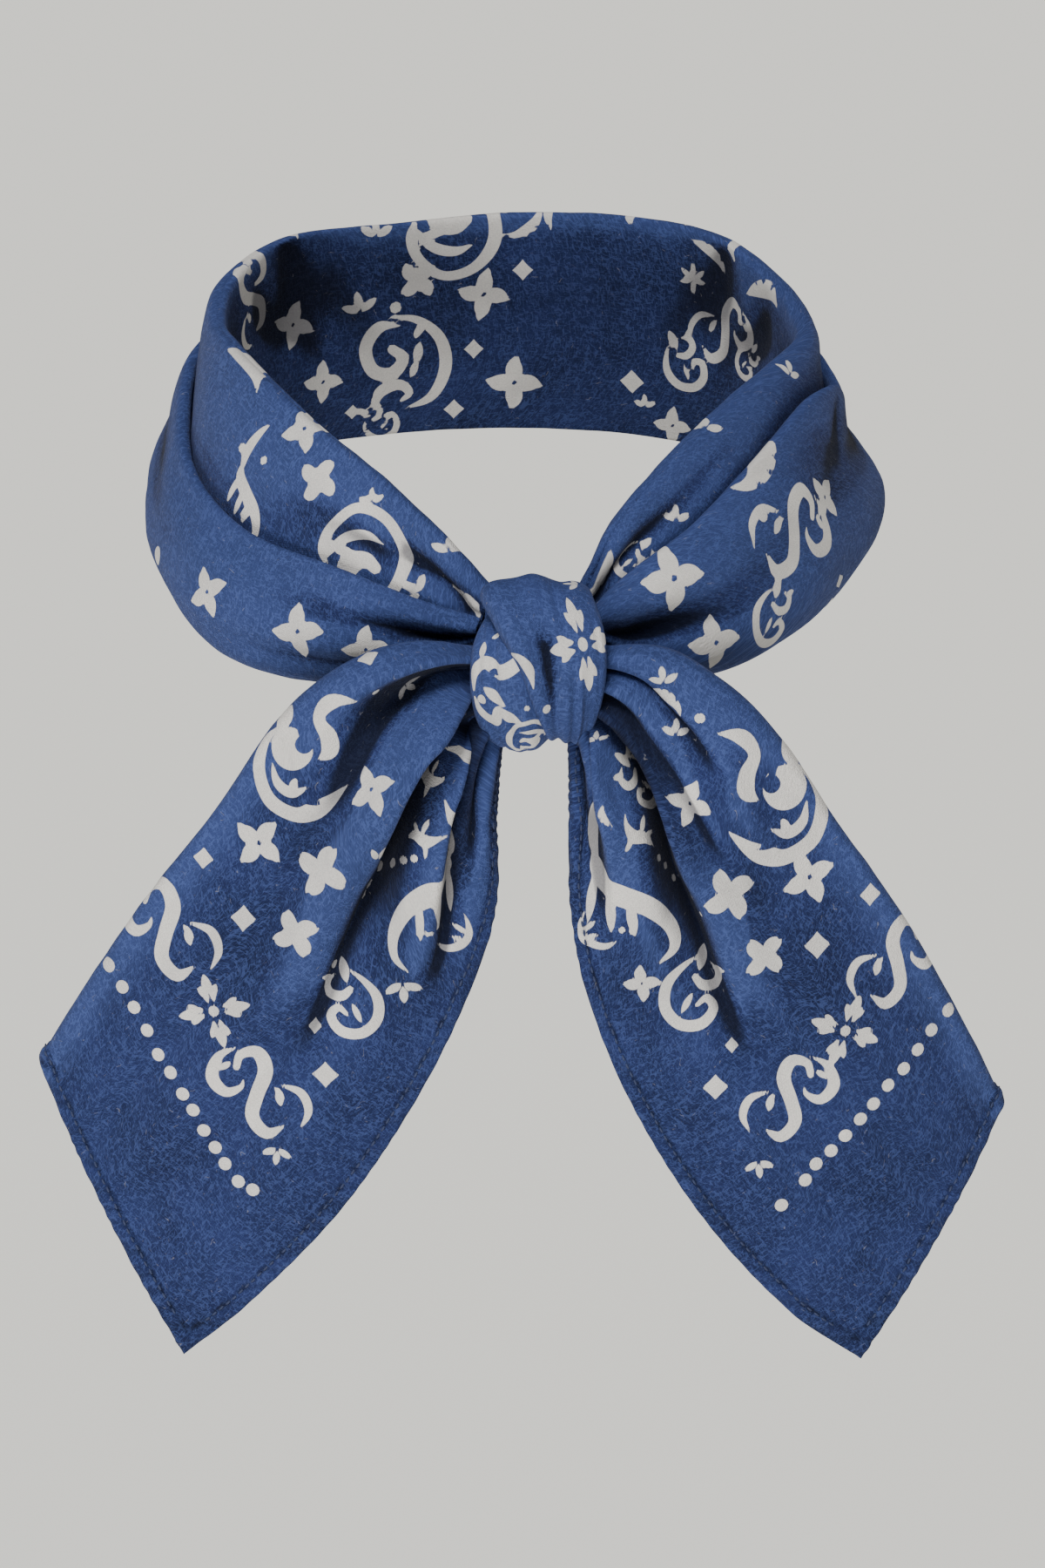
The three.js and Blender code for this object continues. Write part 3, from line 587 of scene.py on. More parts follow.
def soft_noise(x, y, size, seed):
    """Smooth hills and dips between -1 and 1, about size mm apart."""
    lattice = np.random.RandomState(seed).uniform(-1, 1, (64, 64))
    gx, gy = x / size, y / size
    i, j = np.floor(gx).astype(int), np.floor(gy).astype(int)
    fx, fy = [f * f * (3 - 2 * f) for f in (gx - i, gy - j)]
    corner = [[lattice[(i + a) % 64, (j + b) % 64] for b in (0, 1)] for a in (0, 1)]
    low, high = [corner[0][b] * (1 - fx) + corner[1][b] * fx for b in (0, 1)]
    return low * (1 - fy) + high * fy


print("flat cloth: outward directions, lengths over the cloth, soft noise")


# %% The print on a grid
def printed(points, us, vs, motifs):
    """How far inside the print each point of a grid lies, in mm."""
    across, along = flat_cloth(points)
    ink = np.full(across.shape, -3.0)
    for draw, u, v, turn, size, mirror in motifs:
        i, j = np.abs(us - u).argmin(), np.abs(vs - v).argmin()
        i0, i1 = max(i - 5, 0), min(i + 5, len(us) - 1)
        j0, j1 = max(j - 5, 0), min(j + 5, len(vs) - 1)
        a, b = unit(points[i, j1] - points[i, j0]), unit(points[i1, j] - points[i0, j])
        dx = across - across[:, j : j + 1]
        dy = (along[:, j] - along[i, j])[:, None]
        x, y = dx + dy * (a @ b), dy * np.sqrt(max(0, 1 - (a @ b) ** 2)) + 0 * dx
        near = np.hypot(x, y) < 1.5 * size
        s, c = sin(radians(turn)), cos(radians(turn))
        px, py = (x[near] * c - y[near] * s) * mirror / size, (x[near] * s + y[near] * c) / size
        ink[near] = np.maximum(ink[near], draw(px, py) * size)
    return ink


print("print: millimetres inside each motif's edge")


# %% Crests and bottoms of folds
def keep_on(mesh, name, kind, values):
    """Stores a value for each vertex, which the material reads by name."""
    layer = mesh.attributes.new(name, kind, "POINT")
    layer.data.foreach_set("value" if kind == "FLOAT" else "vector", values.ravel())


def fold_of(points, out):
    """Where the cloth is a crest, up to 1, or the bottom of a fold, down to -1."""
    spacing = [np.linalg.norm(np.diff(points, axis=a), axis=-1).mean() for a in (0, 1)]
    total = 0
    for reach, weight in ((2.2, 2.2), (4.5, 2.6), (9, 2.4)):
        bend = np.zeros(points.shape[:2])
        for axis, space in enumerate(spacing):
            n = max(1, round(reach / space))
            pad = [(n, n) if a == axis else (0, 0) for a in range(3)]
            wide = np.pad(points, pad, "edge")
            count = wide.shape[axis]
            ahead, behind = [np.take(wide, places, axis) for places in (range(2 * n, count), range(count - 2 * n))]
            sag = np.sum(((ahead + behind) / 2 - points) * out, -1) / reach
            inside = np.ones(points.shape[axis], bool)
            inside[:n] = inside[-n:] = False
            bend += sag * (inside[:, None] if axis == 0 else inside[None, :])
        total = total - bend * weight
    return np.clip(total, -1, 1)


print("folds: crest or bottom for each point")


# %% A finished piece
def lay_cloth(name, points, lift, wall, ink, toward, materials, shade=0):
    """A piece of cloth whose outside is the grid of points, lifted by lift, all in mm."""
    rows, columns = points.shape[0] - 1, points.shape[1] - 1
    obj, i, j = grid_object(name, columns, rows)
    mesh = obj.data
    out = facing(points, toward)
    spots = (points + out * lift[..., None])[i, j]
    mesh.vertices.foreach_set("co", (spots * MM).ravel())
    mesh.update()
    middle = mesh.polygons[len(mesh.polygons) // 2]
    if middle.normal.dot(Vector(out[i, j][middle.vertices[0]])) < 0:
        mesh.flip_normals()
    across, along = flat_cloth(points)
    keep_on(mesh, "cloth", "FLOAT_VECTOR", np.stack([across, along, 0 * along], -1)[i, j])
    keep_on(mesh, "ink", "FLOAT", ink[i, j])
    # The fold number also carries painted shade: where shade is 1 the cloth takes the full painted shade colour.
    keep_on(mesh, "fold", "FLOAT", ((1 - shade) * fold_of(points, out) - shade)[i, j])
    mesh.polygons.foreach_set("use_smooth", np.ones(len(mesh.polygons), bool))
    for material in materials:
        mesh.materials.append(material)
    share = obj.vertex_groups.new(name="thickness")
    levels = np.rint((wall / wall.max())[i, j] * 8) / 8
    for level in np.unique(levels):
        share.add(np.flatnonzero(levels == level).tolist(), float(level), "REPLACE")
    solid = obj.modifiers.new("thickness", "SOLIDIFY")
    solid.thickness, solid.offset = float(wall.max()) * MM, -1
    solid.vertex_group, solid.material_offset = "thickness", len(materials) - 1
    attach(obj, "root")
    size = [round(float(v), 1) for v in (across[:, -1].mean(), along[-1].mean())]
    print(name, rows * columns, "faces, about", size, "mm")
    return obj

# %% [markdown]
# ## The print
# The white pattern of such a cloth is printed: flowers, leaves, scrolls and dots of the kind that has been
# common property for centuries. Each motif is a small formula that says, for a point on the flat cloth, how far
# inside its edge the point lies, in millimetres. That one number is kept on each vertex, and the material turns
# it into a crisp edge. So the print bends, stretches and hides in the folds with the cloth it is printed on.

# %% Shapes that motifs are made from
def petal(x, y, turn, length, width, start=0.0):
    """A pointed petal that grows from the middle of a motif, turn degrees from its up direction."""
    s, c = sin(radians(turn)), cos(radians(turn))
    ahead, aside = x * s + y * c - start, x * c - y * s
    radius = (length**2 + width**2) / (4 * width)
    return radius - np.hypot(ahead - length / 2, np.abs(aside) + radius - width / 2)


def disc(x, y, cx, cy, radius):
    return radius - np.hypot(x - cx, y - cy)


def stroke(x, y, *points):
    """A brush stroke along points of (x, y, half width), smooth between them."""
    p = np.array(points, float)
    before = np.vstack([2 * p[0] - p[1], p[:-1]])
    after = np.vstack([p[1:], 2 * p[-1] - p[-2]])
    slope = (after - before) / 2
    f = np.linspace(0, 1, 6)[:-1][:, None]
    bends = []
    for a, b, sa, sb in zip(p[:-1], p[1:], slope[:-1], slope[1:]):
        level = a * (1 + 2 * f) * (1 - f) ** 2 + b * f * f * (3 - 2 * f)
        bends.append(level + sa * f * (1 - f) ** 2 - sb * f * f * (1 - f))
    line = np.vstack(bends + [p[-1:]])
    ink = np.full(x.shape, -9.0)
    for (ax, ay, aw), (bx, by, bw) in zip(line[:-1], line[1:]):
        dx, dy = bx - ax, by - ay
        k = np.clip(((x - ax) * dx + (y - ay) * dy) / (dx * dx + dy * dy + 1e-12), 0, 1)
        ink = np.maximum(ink, aw + k * (bw - aw) - np.hypot(x - ax - k * dx, y - ay - k * dy))
    return ink


def both(*inks):
    return np.maximum.reduce(inks)


def without(ink, *cuts):
    return np.minimum.reduce([ink] + [-c for c in cuts])


def leaves(x, y, *rows):
    """Petals from rows of (foot x, foot y, turn, length, width)."""
    return both(*[petal(x - fx, y - fy, turn, length, width) for fx, fy, turn, length, width in rows])


def ray(x, y, turn, *rows):
    """A stroke straight out from the middle, from rows of (distance, half width)."""
    s, c = sin(radians(turn)), cos(radians(turn))
    return stroke(x, y, *[(r * s, r * c, w) for r, w in rows])


print("brush: petals, discs and strokes")


# %% Flowers, each about one unit from middle to tip
CROSS = (0, 90, 180, 270)


def flower(x, y):
    """Four pointed petals round a small hole."""
    petals = [both(petal(x, y, a, 0.92, 0.6, 0.0), petal(x, y, a + 5, 0.62, 0.28, 0.42)) for a in CROSS]
    return without(both(*petals), disc(x, y, 0.03, 0, 0.1))


def windmill(x, y):
    """Four broad petals with a sharp corner each."""
    return both(*[both(petal(x, y, a + 45, 0.98, 0.66), petal(x, y, a + 58, 0.94, 0.4, 0.1)) for a in CROSS])


def rosette(x, y):
    """Four three-pointed, forked petals that stand clear of a round heart."""
    petals = []
    for a in CROSS:
        s, c = sin(radians(a)), cos(radians(a))
        px, py = x * c - y * s, x * s + y * c
        lobes = leaves(px, py, (0, 0.3, 0, 0.72, 0.28), (0.02, 0.34, 34, 0.44, 0.2),
            (-0.02, 0.34, -34, 0.44, 0.2), (0.08, 0.24, 8, 0.4, 0.14), (-0.08, 0.24, -8, 0.4, 0.14))
        petals.append(without(lobes, ray(px, py, 0, (0.2, 0.06), (0.5, 0.01))))
    return both(disc(x, y, 0, 0, 0.14), *petals)


def tall_rosette(x, y):
    return rosette(1.45 * x, y)


print("flowers:", [f.__name__ for f in (flower, windmill, rosette, tall_rosette)])


# %% Small marks
def trefoil(x, y):
    return leaves(x, y, (0, -0.1, -62, 1.15, 0.46), (0, 0.1, 0, 1.0, 0.46), (0, -0.1, 62, 1.15, 0.46))


def diamond(x, y):
    return (1 - np.abs(x) - np.abs(y) - 0.35 * np.abs(x * y)) * 0.72


def dot(x, y):
    return disc(x, y, 0, 0, 1)


def dots(radius, *places):
    """Rows of the print for dots of one size, each at its two places on the cloth."""
    return [(dot, u, v, 0, radius, 1) for u, v in places]


def star_leaf(x, y):
    rays = ((0, 1), (48, 0.85), (-48, 0.85), (98, 0.7), (-98, 0.7), (180, 0.75))
    return leaves(x, y, *[(0, 0, turn, length, 0.26) for turn, length in rays])


def sprig(x, y):
    """A bent leaf with a thorn and a bud."""
    stem = stroke(x, y, (-0.9, -0.3, 0.01), (-0.4, -0.1, 0.2), (0.2, -0.2, 0.26), (0.7, 0.1, 0.12),
        (0.95, 0.5, 0.01))
    return both(stem, leaves(x, y, (-0.1, 0, 10, 0.85, 0.24), (0.2, -0.2, 168, 0.75, 0.24),
        (-0.3, 0, -38, 0.6, 0.2)))


def claw(x, y):
    """A short curved leaf that ends in three points."""
    hook = stroke(x, y, (-0.9, -0.5, 0.01), (-0.3, -0.72, 0.14), (0.3, -0.5, 0.17), (0.6, 0.0, 0.16),
        (0.5, 0.6, 0.08), (0.3, 1.0, 0.01))
    return both(hook, leaves(x, y, (0.56, 0.1, -62, 0.8, 0.22), (0.5, -0.2, -86, 0.66, 0.2)))


def thorn(x, y):
    """A fat comma of ink."""
    return stroke(x, y, (-0.5, 0.8, 0.1), (0.0, 0.55, 0.24), (0.34, 0.1, 0.3), (0.44, -0.42, 0.16),
        (0.46, -1.0, 0.01))


print("small marks:", [f.__name__ for f in (trefoil, diamond, dot, star_leaf, sprig, claw, thorn)])


# %% Scrolls
def s_scroll(x, y):
    main = stroke(x, y, (-0.4, 0.6, 0.07), (-0.26, 0.88, 0.09), (0.1, 0.9, 0.14), (0.2, 0.46, 0.16),
        (-0.06, -0.06, 0.15), (-0.24, -0.56, 0.15), (0.02, -0.94, 0.13), (0.42, -0.8, 0.02))
    hook = stroke(x, y, (-0.3, 1.06, 0.01), (-0.74, 0.86, 0.09), (-0.96, 0.4, 0.14), (-0.74, 0.04, 0.12),
        (-0.4, 0.12, 0.06), (-0.3, 0.3, 0.01))
    drop = stroke(x, y, (0.52, 0.1, 0.03), (0.9, -0.1, 0.09), (0.98, -0.52, 0.08), (0.74, -0.9, 0.01))
    buds = leaves(x, y, (0.42, -0.36, -4, 0.36, 0.17), (0.34, 0.08, 150, 0.34, 0.13),
        (-0.8, 0.56, 62, 0.36, 0.14))
    return both(main, hook, drop, buds)


def crescent(x, y):
    moon = stroke(x, y, (-0.3, 0.42, 0.01), (-0.6, 0.12, 0.075), (-0.7, -0.36, 0.11), (-0.48, -0.84, 0.12),
        (0.0, -1.04, 0.12), (0.36, -0.94, 0.16), (0.62, -0.76, 0.11), (0.9, -0.44, 0.01))
    bud = without(disc(x, y, -0.12, 0.06, 0.36), disc(x, y, 0.08, 0.16, 0.15),
        stroke(x, y, (0.1, 0.16, 0.05), (-0.02, 0.5, 0.07)))
    leaf_above = stroke(x, y, (0.72, 1.2, 0.01), (0.4, 1.04, 0.12), (0.26, 0.7, 0.09), (0.44, 0.4, 0.13),
        (0.5, 0.12, 0.13), (0.34, -0.06, 0.01))
    twig = stroke(x, y, (-0.46, -0.22, 0.01), (-0.34, -0.54, 0.08), (-0.06, -0.68, 0.08), (0.2, -0.56, 0.02))
    notches = leaves(x, y, (0.0, -0.76, 98, 0.5, 0.12))
    return both(without(moon, notches), bud, leaf_above, twig,
        leaves(x, y, (-0.36, 0.34, 14, 0.5, 0.28), (-0.1, -0.66, 24, 0.26, 0.14)))


def spiral(x, y):
    arc = stroke(x, y, (-0.36, 0.96, 0.03), (0.2, 0.94, 0.08), (0.72, 0.6, 0.12), (0.92, 0.0, 0.13),
        (0.72, -0.66, 0.1), (0.2, -0.98, 0.01))
    hook = stroke(x, y, (-0.16, 0.8, 0.02), (-0.6, 0.72, 0.12), (-0.84, 0.26, 0.14), (-0.62, -0.2, 0.14),
        (-0.2, -0.24, 0.14), (0.0, 0.1, 0.12), (-0.26, 0.28, 0.1))
    foot = stroke(x, y, (-0.44, -1.04, 0.02), (-0.4, -0.66, 0.12), (-0.02, -0.46, 0.11),
        (0.24, -0.62, 0.08), (0.1, -0.8, 0.04))
    thorns = leaves(x, y, (0.3, 0.0, 0, 0.5, 0.2), (0.3, 0.1, 190, 0.42, 0.16), (0.3, 0.86, 200, 0.34, 0.16))
    return both(arc, hook, foot, thorns)


print("scrolls:", [f.__name__ for f in (s_scroll, crescent, spiral)])


# %% Paisleys, plumes and leaves
def paisley(x, y):
    arc = stroke(x, y, (-0.72, -0.3, 0.02), (-0.84, 0.04, 0.11), (-0.7, 0.46, 0.1), (-0.2, 0.82, 0.09),
        (0.4, 0.68, 0.1), (0.8, 0.18, 0.13), (0.78, -0.4, 0.12), (0.42, -0.84, 0.08), (0.02, -0.96, 0.01))
    vane = stroke(x, y, (-0.78, -0.1, 0.06), (-0.4, 0.24, 0.1), (0.04, 0.34, 0.09), (0.4, 0.2, 0.01))
    bud = stroke(x, y, (0.28, -0.28, 0.1), (0.04, -0.14, 0.14), (-0.28, -0.28, 0.22), (-0.2, -0.62, 0.12),
        (0.18, -0.76, 0.09), (0.34, -0.56, 0.02))
    return both(arc, vane, bud, leaves(x, y, (-0.1, -0.1, -74, 0.6, 0.18)))


def curl(x, y):
    bowl = stroke(x, y, (-0.22, 0.78, 0.02), (-0.56, 0.34, 0.08), (-0.7, -0.18, 0.13), (-0.48, -0.7, 0.14),
        (0.02, -0.92, 0.14), (0.5, -0.72, 0.14), (0.64, -0.28, 0.12), (0.36, -0.12, 0.09),
        (0.2, -0.34, 0.05))
    rim = stroke(x, y, (-0.14, 0.24, 0.08), (0.16, 0.14, 0.12), (0.48, 0.32, 0.12), (0.46, 0.66, 0.09),
        (0.16, 0.74, 0.02))
    thorns = leaves(x, y, (-0.1, 0.42, -4, 0.7, 0.3), (-0.06, -0.66, 2, 0.56, 0.16), (0.3, 0.6, 40, 0.44, 0.18))
    return both(bowl, rim, thorns)


def plume(x, y):
    stem = stroke(x, y, (0.26, 1.02, 0.01), (0.36, 0.72, 0.075), (0.42, 0.34, 0.1), (0.34, 0.04, 0.03))
    vane = stroke(x, y, (0.4, 0.12, 0.02), (0.3, -0.1, 0.12), (0.0, -0.26, 0.13), (-0.32, -0.42, 0.11),
        (-0.54, -0.68, 0.08), (-0.56, -0.94, 0.05), (-0.38, -1.12, 0.01))
    spikes = leaves(x, y, (0.34, -0.06, 172, 0.6, 0.13), (0.1, -0.22, 178, 0.52, 0.13),
        (-0.12, -0.32, 184, 0.46, 0.12))
    return both(stem, vane, spikes)


def leaf(x, y):
    blade = stroke(x, y, (-0.25, -1.0, 0.015), (0.02, -0.62, 0.14), (0.12, -0.1, 0.24), (0.04, 0.4, 0.2),
        (-0.2, 0.98, 0.015))
    cuts = leaves(x, y, (0.1, -0.5, 62, 0.34, 0.1), (0.18, -0.1, 56, 0.34, 0.1), (0.14, 0.28, 50, 0.34, 0.1))
    return without(blade, cuts)


def wave(x, y):
    """A rolling band with a thorn, and an S below it."""
    roll = stroke(x, y, (-0.62, -0.5, 0.04), (-0.56, -0.02, 0.13), (-0.2, 0.2, 0.15), (0.2, -0.04, 0.17),
        (0.6, 0.12, 0.16), (0.96, 0.5, 0.12))
    bite = stroke(x, y, (-0.18, -0.14, 0.05), (0.02, -0.02, 0.08), (0.14, -0.1, 0.03))
    low = stroke(x, y, (-0.62, -0.72, 0.04), (-0.5, -1.1, 0.11), (-0.14, -1.28, 0.13), (0.02, -0.98, 0.11),
        (0.26, -1.1, 0.13), (0.5, -1.26, 0.05))
    thorns = leaves(x, y, (-0.36, 0.3, 14, 0.42, 0.2), (-0.3, -0.4, 128, 0.7, 0.28), (-0.1, 0.78, 60, 0.34, 0.12))
    return both(without(roll, bite), low, thorns, disc(x, y, -0.4, -0.74, 0.12))

print("larger motifs:", [f.__name__ for f in (paisley, curl, plume, leaf, wave)])

# %% [markdown]
# ## The two tails
# A tail is a corner of the square. Its outer edge is a fold, with the rest of the cloth turned behind as a flap,
# and its other two edges are hems: the edge turned over and stitched. The grid runs from the flap's free edge,
# round the fold and over the front to the long hem, and from the knot down to the short hem. A cloth simulation
# could hang the tails, but it would fall in its own way each time a number changed, and its folds would leave
# the solid. Folds placed one by one, each with its own height, width and reach, stay on it and follow the real
# ones.

# %% Places on a grid
HALF_WALL = 0.6  # the solids' cloth is 1.2 mm, so its outside lies this far from the surface


def even_places(surface, low, high, count, across=True):
    """Places along a grid, about as far apart on the cloth everywhere, and closer in tight turns."""
    fine = np.linspace(low, high, 600)
    other = np.linspace(0.15, 1, 9)
    points = grid(surface, other, fine) if across else grid(surface, fine, other).transpose(1, 0, 2)
    step = np.linalg.norm(np.diff(points, axis=1), axis=-1).mean(0)
    way = np.append(0, np.cumsum(step / step.sum() + 0.25 / len(step)))
    return np.interp(np.linspace(0, way[-1], count + 1), way, fine)


print("cloth lies", HALF_WALL, "mm outside its surface")


# %% Sizes of a tail
HEM = 3.5  # width of a finished hem, mm
HEM_RISE, CORNER_RISE, SEAM_DIP = 0.6, 0.3, 0.35  # how far hems and corners stand up, and stitches pull in, mm
PUCKER_PITCH, PUCKER_HEIGHT = 5.8, 0.15  # of the small waves along a sewn hem, mm
STITCH_LINE = 2.9  # from the edge to its row of stitches, mm
FRONT = np.array([0.0, -1.0, 0.0])
TAIL_ROWS, TAIL_COLUMNS = 252, 190


def deeper(pleat):
    """A fold of thin cloth is sharper and deeper than the same fold of the solid."""
    v0, v1, v2, v3, height, width, reach, lean = pleat
    return v0, v1, v2, v3, height * (1.3 if height < 0 else 1.0), width * 0.92, reach * 0.85, lean


print("hem", HEM, "mm, stitches", STITCH_LINE, "mm from the edge")

# %% [markdown]
# ## Folds that fall over
# Close under the knot the cloth is squeezed, so its folds lean over like a wave and hide a dark gap. A bump up and
# down can't do that, so such a fold also moves its crest sideways over the dip beside it. Light hardly gets into
# the gap on the real cloth, so the cloth there is also given shade.

# %% Falling folds and gathers
# Folds that fall over towards the long hem, from place v0 at the knot to v3 at seven tenths of the tail: how high
# the fold stands, how deep the cloth dips beside it, how fast it falls, how wide it rises, how far it reaches, and
# how wide the gloom is under it.
LEFT_LAPS = [
    (0.05, 0.06, 0.1, 0.16, 1.4, 1.6, 0.035, 0.05, 0.34, 0.17),
    (0.23, 0.335, 0.46, 0.6, 3.0, 5.0, 0.032, 0.08, 0.62, 0.25),
    (0.43, 0.6, 0.78, 0.86, 2.6, 3.8, 0.03, 0.05, 0.42, 0.2),
]
RIGHT_LAPS = [
    (0.07, 0.14, 0.17, 0.2, 2.0, 3.0, 0.035, 0.05, 0.36, 0.09),
    (0.22, 0.26, 0.31, 0.36, 2.0, 3.8, 0.035, 0.05, 0.46, 0.15),
    (0.32, 0.34, 0.45, 0.59, 3.0, 5.0, 0.032, 0.07, 0.64, 0.24),
    (0.46, 0.7, 0.82, 0.86, 1.8, 2.4, 0.035, 0.05, 0.32, 0.14),
]
LEFT_GATHERS = [
    (0.48, 0.5, 0.52, 0.59, -2.3, 0.07, 1.1, 0),
    (0.12, 0.22, 0.27, 0.31, -1.4, 0.06, 0.5, 0),
    (0.02, 0.03, 0.05, 0.1, -1.0, 0.02, 0.2, 0),
    (0.34, 0.45, 0.53, 0.62, -0.8, 0.02, 0.34, 0),
    (0.56, 0.68, 0.78, 0.8, 0.8, 0.03, 0.3, 0),
    (0.7, 0.84, 0.88, 0.9, -0.9, 0.022, 0.26, 0),
    (0.18, 0.3, 0.36, 0.4, 0.7, 0.03, 0.3, 0),
]
RIGHT_GATHERS = [
    (0.48, 0.5, 0.51, 0.58, -2.3, 0.07, 1.1, 0),
    (0.01, 0.03, 0.04, 0.05, -0.8, 0.016, 0.18, 0),
    (0.16, 0.2, 0.23, 0.26, 0.8, 0.03, 0.26, 0),
    (0.4, 0.46, 0.55, 0.6, -0.8, 0.022, 0.34, 0),
    (0.6, 0.66, 0.7, 0.72, 0.9, 0.03, 0.3, 0),
    (0.84, 0.92, 0.94, 0.95, -0.8, 0.024, 0.26, 0),
]


print("falling folds:", len(LEFT_LAPS), "and", len(RIGHT_LAPS))


# %% A fold that falls over
def lap_over(laps, u, v):
    """Height, sideways reach and shade of folds that fall over on one side."""
    lift, aside, shade = np.zeros((3,) + u.shape)
    for v0, v1, v2, v3, height, depth, fall, rise, reach, gloom in laps:
        x = v - fold_place(v0, v1, v2, v3, u)
        wide = 1 + 0.6 * u
        crest = np.where(x < 0, np.exp(-((x / (rise * wide)) ** 2)), 1 - smoothstep(0, fall * wide, x))
        beyond = x - 1.7 * fall * wide
        dip = np.exp(-((beyond / np.where(beyond < 0, 0.9 * fall * wide, 2.0 * fall * wide)) ** 2))
        fade = (1 - smoothstep(0.35 * reach, reach, u)) * (0.6 + 0.4 * smoothstep(0, 0.08, u))
        lift += (height * crest - depth * dip) * fade
        aside += 0.8 * height * np.exp(-(((x + 0.1 * fall) / (1.2 * fall * wide)) ** 2)) * fade
        # Painted shade beside the fold, from its edge out to the width of its gloom, fading down the tail.
        dark = smoothstep(0, fall * wide, x) * (1 - smoothstep(0.5 * gloom * wide, gloom * wide, x))
        shade += 0.22 * (depth + 0.1) * dark * (1 - smoothstep(0.3 * reach, reach, u))
    return lift, aside, np.minimum(shade, 1)


def tail_frame(rows, t):
    """Directions across the tail and out of its front."""
    outer, inner = point(rows, "out", t), point(rows, "in", t)
    across = unit(inner - outer)
    along = unit(sum(point(rows, e, t + 0.01) - point(rows, e, t - 0.01) for e in ("out", "in")))
    front = unit(np.cross(across, along))
    return across, np.where(front[:, 1:2] > 0, -front, front)


print("a falling fold has a lift, a sideways reach and a shade")


# %% One tail
def tail_cloth(name, rows, pleats, gathers, laps, motifs, seed):
    folds = [deeper(p) for p in pleats] + gathers

    def surface(t, v):
        u = np.where(v < 0, t * (1 - FLAP_SLANT * np.abs(v)), t)
        across, front = tail_frame(rows, u)
        lift, aside, _ = lap_over(laps, u, np.abs(v))
        lift, aside = np.where(v < 0, np.minimum(lift, 0), lift), np.where(v < 0, 0, aside)
        shown = smoothstep(0, 0.03, np.abs(v))
        raised = tail_point(rows, folds, t, v) + front * (lift * shown)[:, None]
        return raised + across * (aside * shown)[:, None]

    vs = even_places(surface, -0.44, 1, TAIL_COLUMNS)
    ts = np.linspace(0, 1, TAIL_ROWS + 1)
    points = grid(surface, ts, vs)
    across, along = flat_cloth(points)
    to_hem = across[:, -1:] - across, along[-1:] - along, across
    edge = np.minimum.reduce(to_hem)
    sewn = 1 - smoothstep(HEM - 0.25, HEM + 0.1, edge)
    corner = sewn * (1 - smoothstep(HEM - 0.2, HEM + 0.2, np.maximum(to_hem[0], to_hem[1])))
    seam = np.exp(-(((edge - STITCH_LINE) / 0.45) ** 2))
    uneven = 2.6 * soft_noise(across, along, 9, seed)
    pucker = sewn * np.sin((across + along) * 2 * pi / PUCKER_PITCH + uneven) * PUCKER_HEIGHT
    rumple = 0.3 * soft_noise(across, along * 0.6, 13, seed + 1)
    rumple += 0.1 * soft_noise(across, along, 4.5, seed + 2)
    lift = HALF_WALL + HEM_RISE * sewn + CORNER_RISE * corner + pucker - SEAM_DIP * seam
    lift += rumple * (1 - 0.6 * sewn)
    wall = CLOTH + (HEMMED - CLOTH) * sewn
    ink = printed(points, ts, vs, motifs)
    toward = np.where(vs >= 0, 1, 0)[None, :, None] * FRONT
    t_grid, v_grid = np.meshgrid(ts, vs, indexing="ij")
    # Painted shade in the gaps beside falling folds, along the stitch line, at the hem's inner edge and in the
    # dips of its puckers; the whole hem is also a little darker.
    shade = lap_over(laps, t_grid, np.maximum(v_grid, 0))[2] + 0.3 * seam
    shade += 0.4 * np.exp(-(((edge - HEM) / 0.4) ** 2))
    shade += 0.1 * sewn - 2.2 * np.minimum(pucker, 0.05)
    obj = lay_cloth(name, points, lift, wall, ink, toward, [right_side, wrong_side], shade)
    return obj, points + facing(points, toward) * lift[..., None], to_hem, toward


print("a tail is a grid of", TAIL_ROWS, "x", TAIL_COLUMNS, "faces")

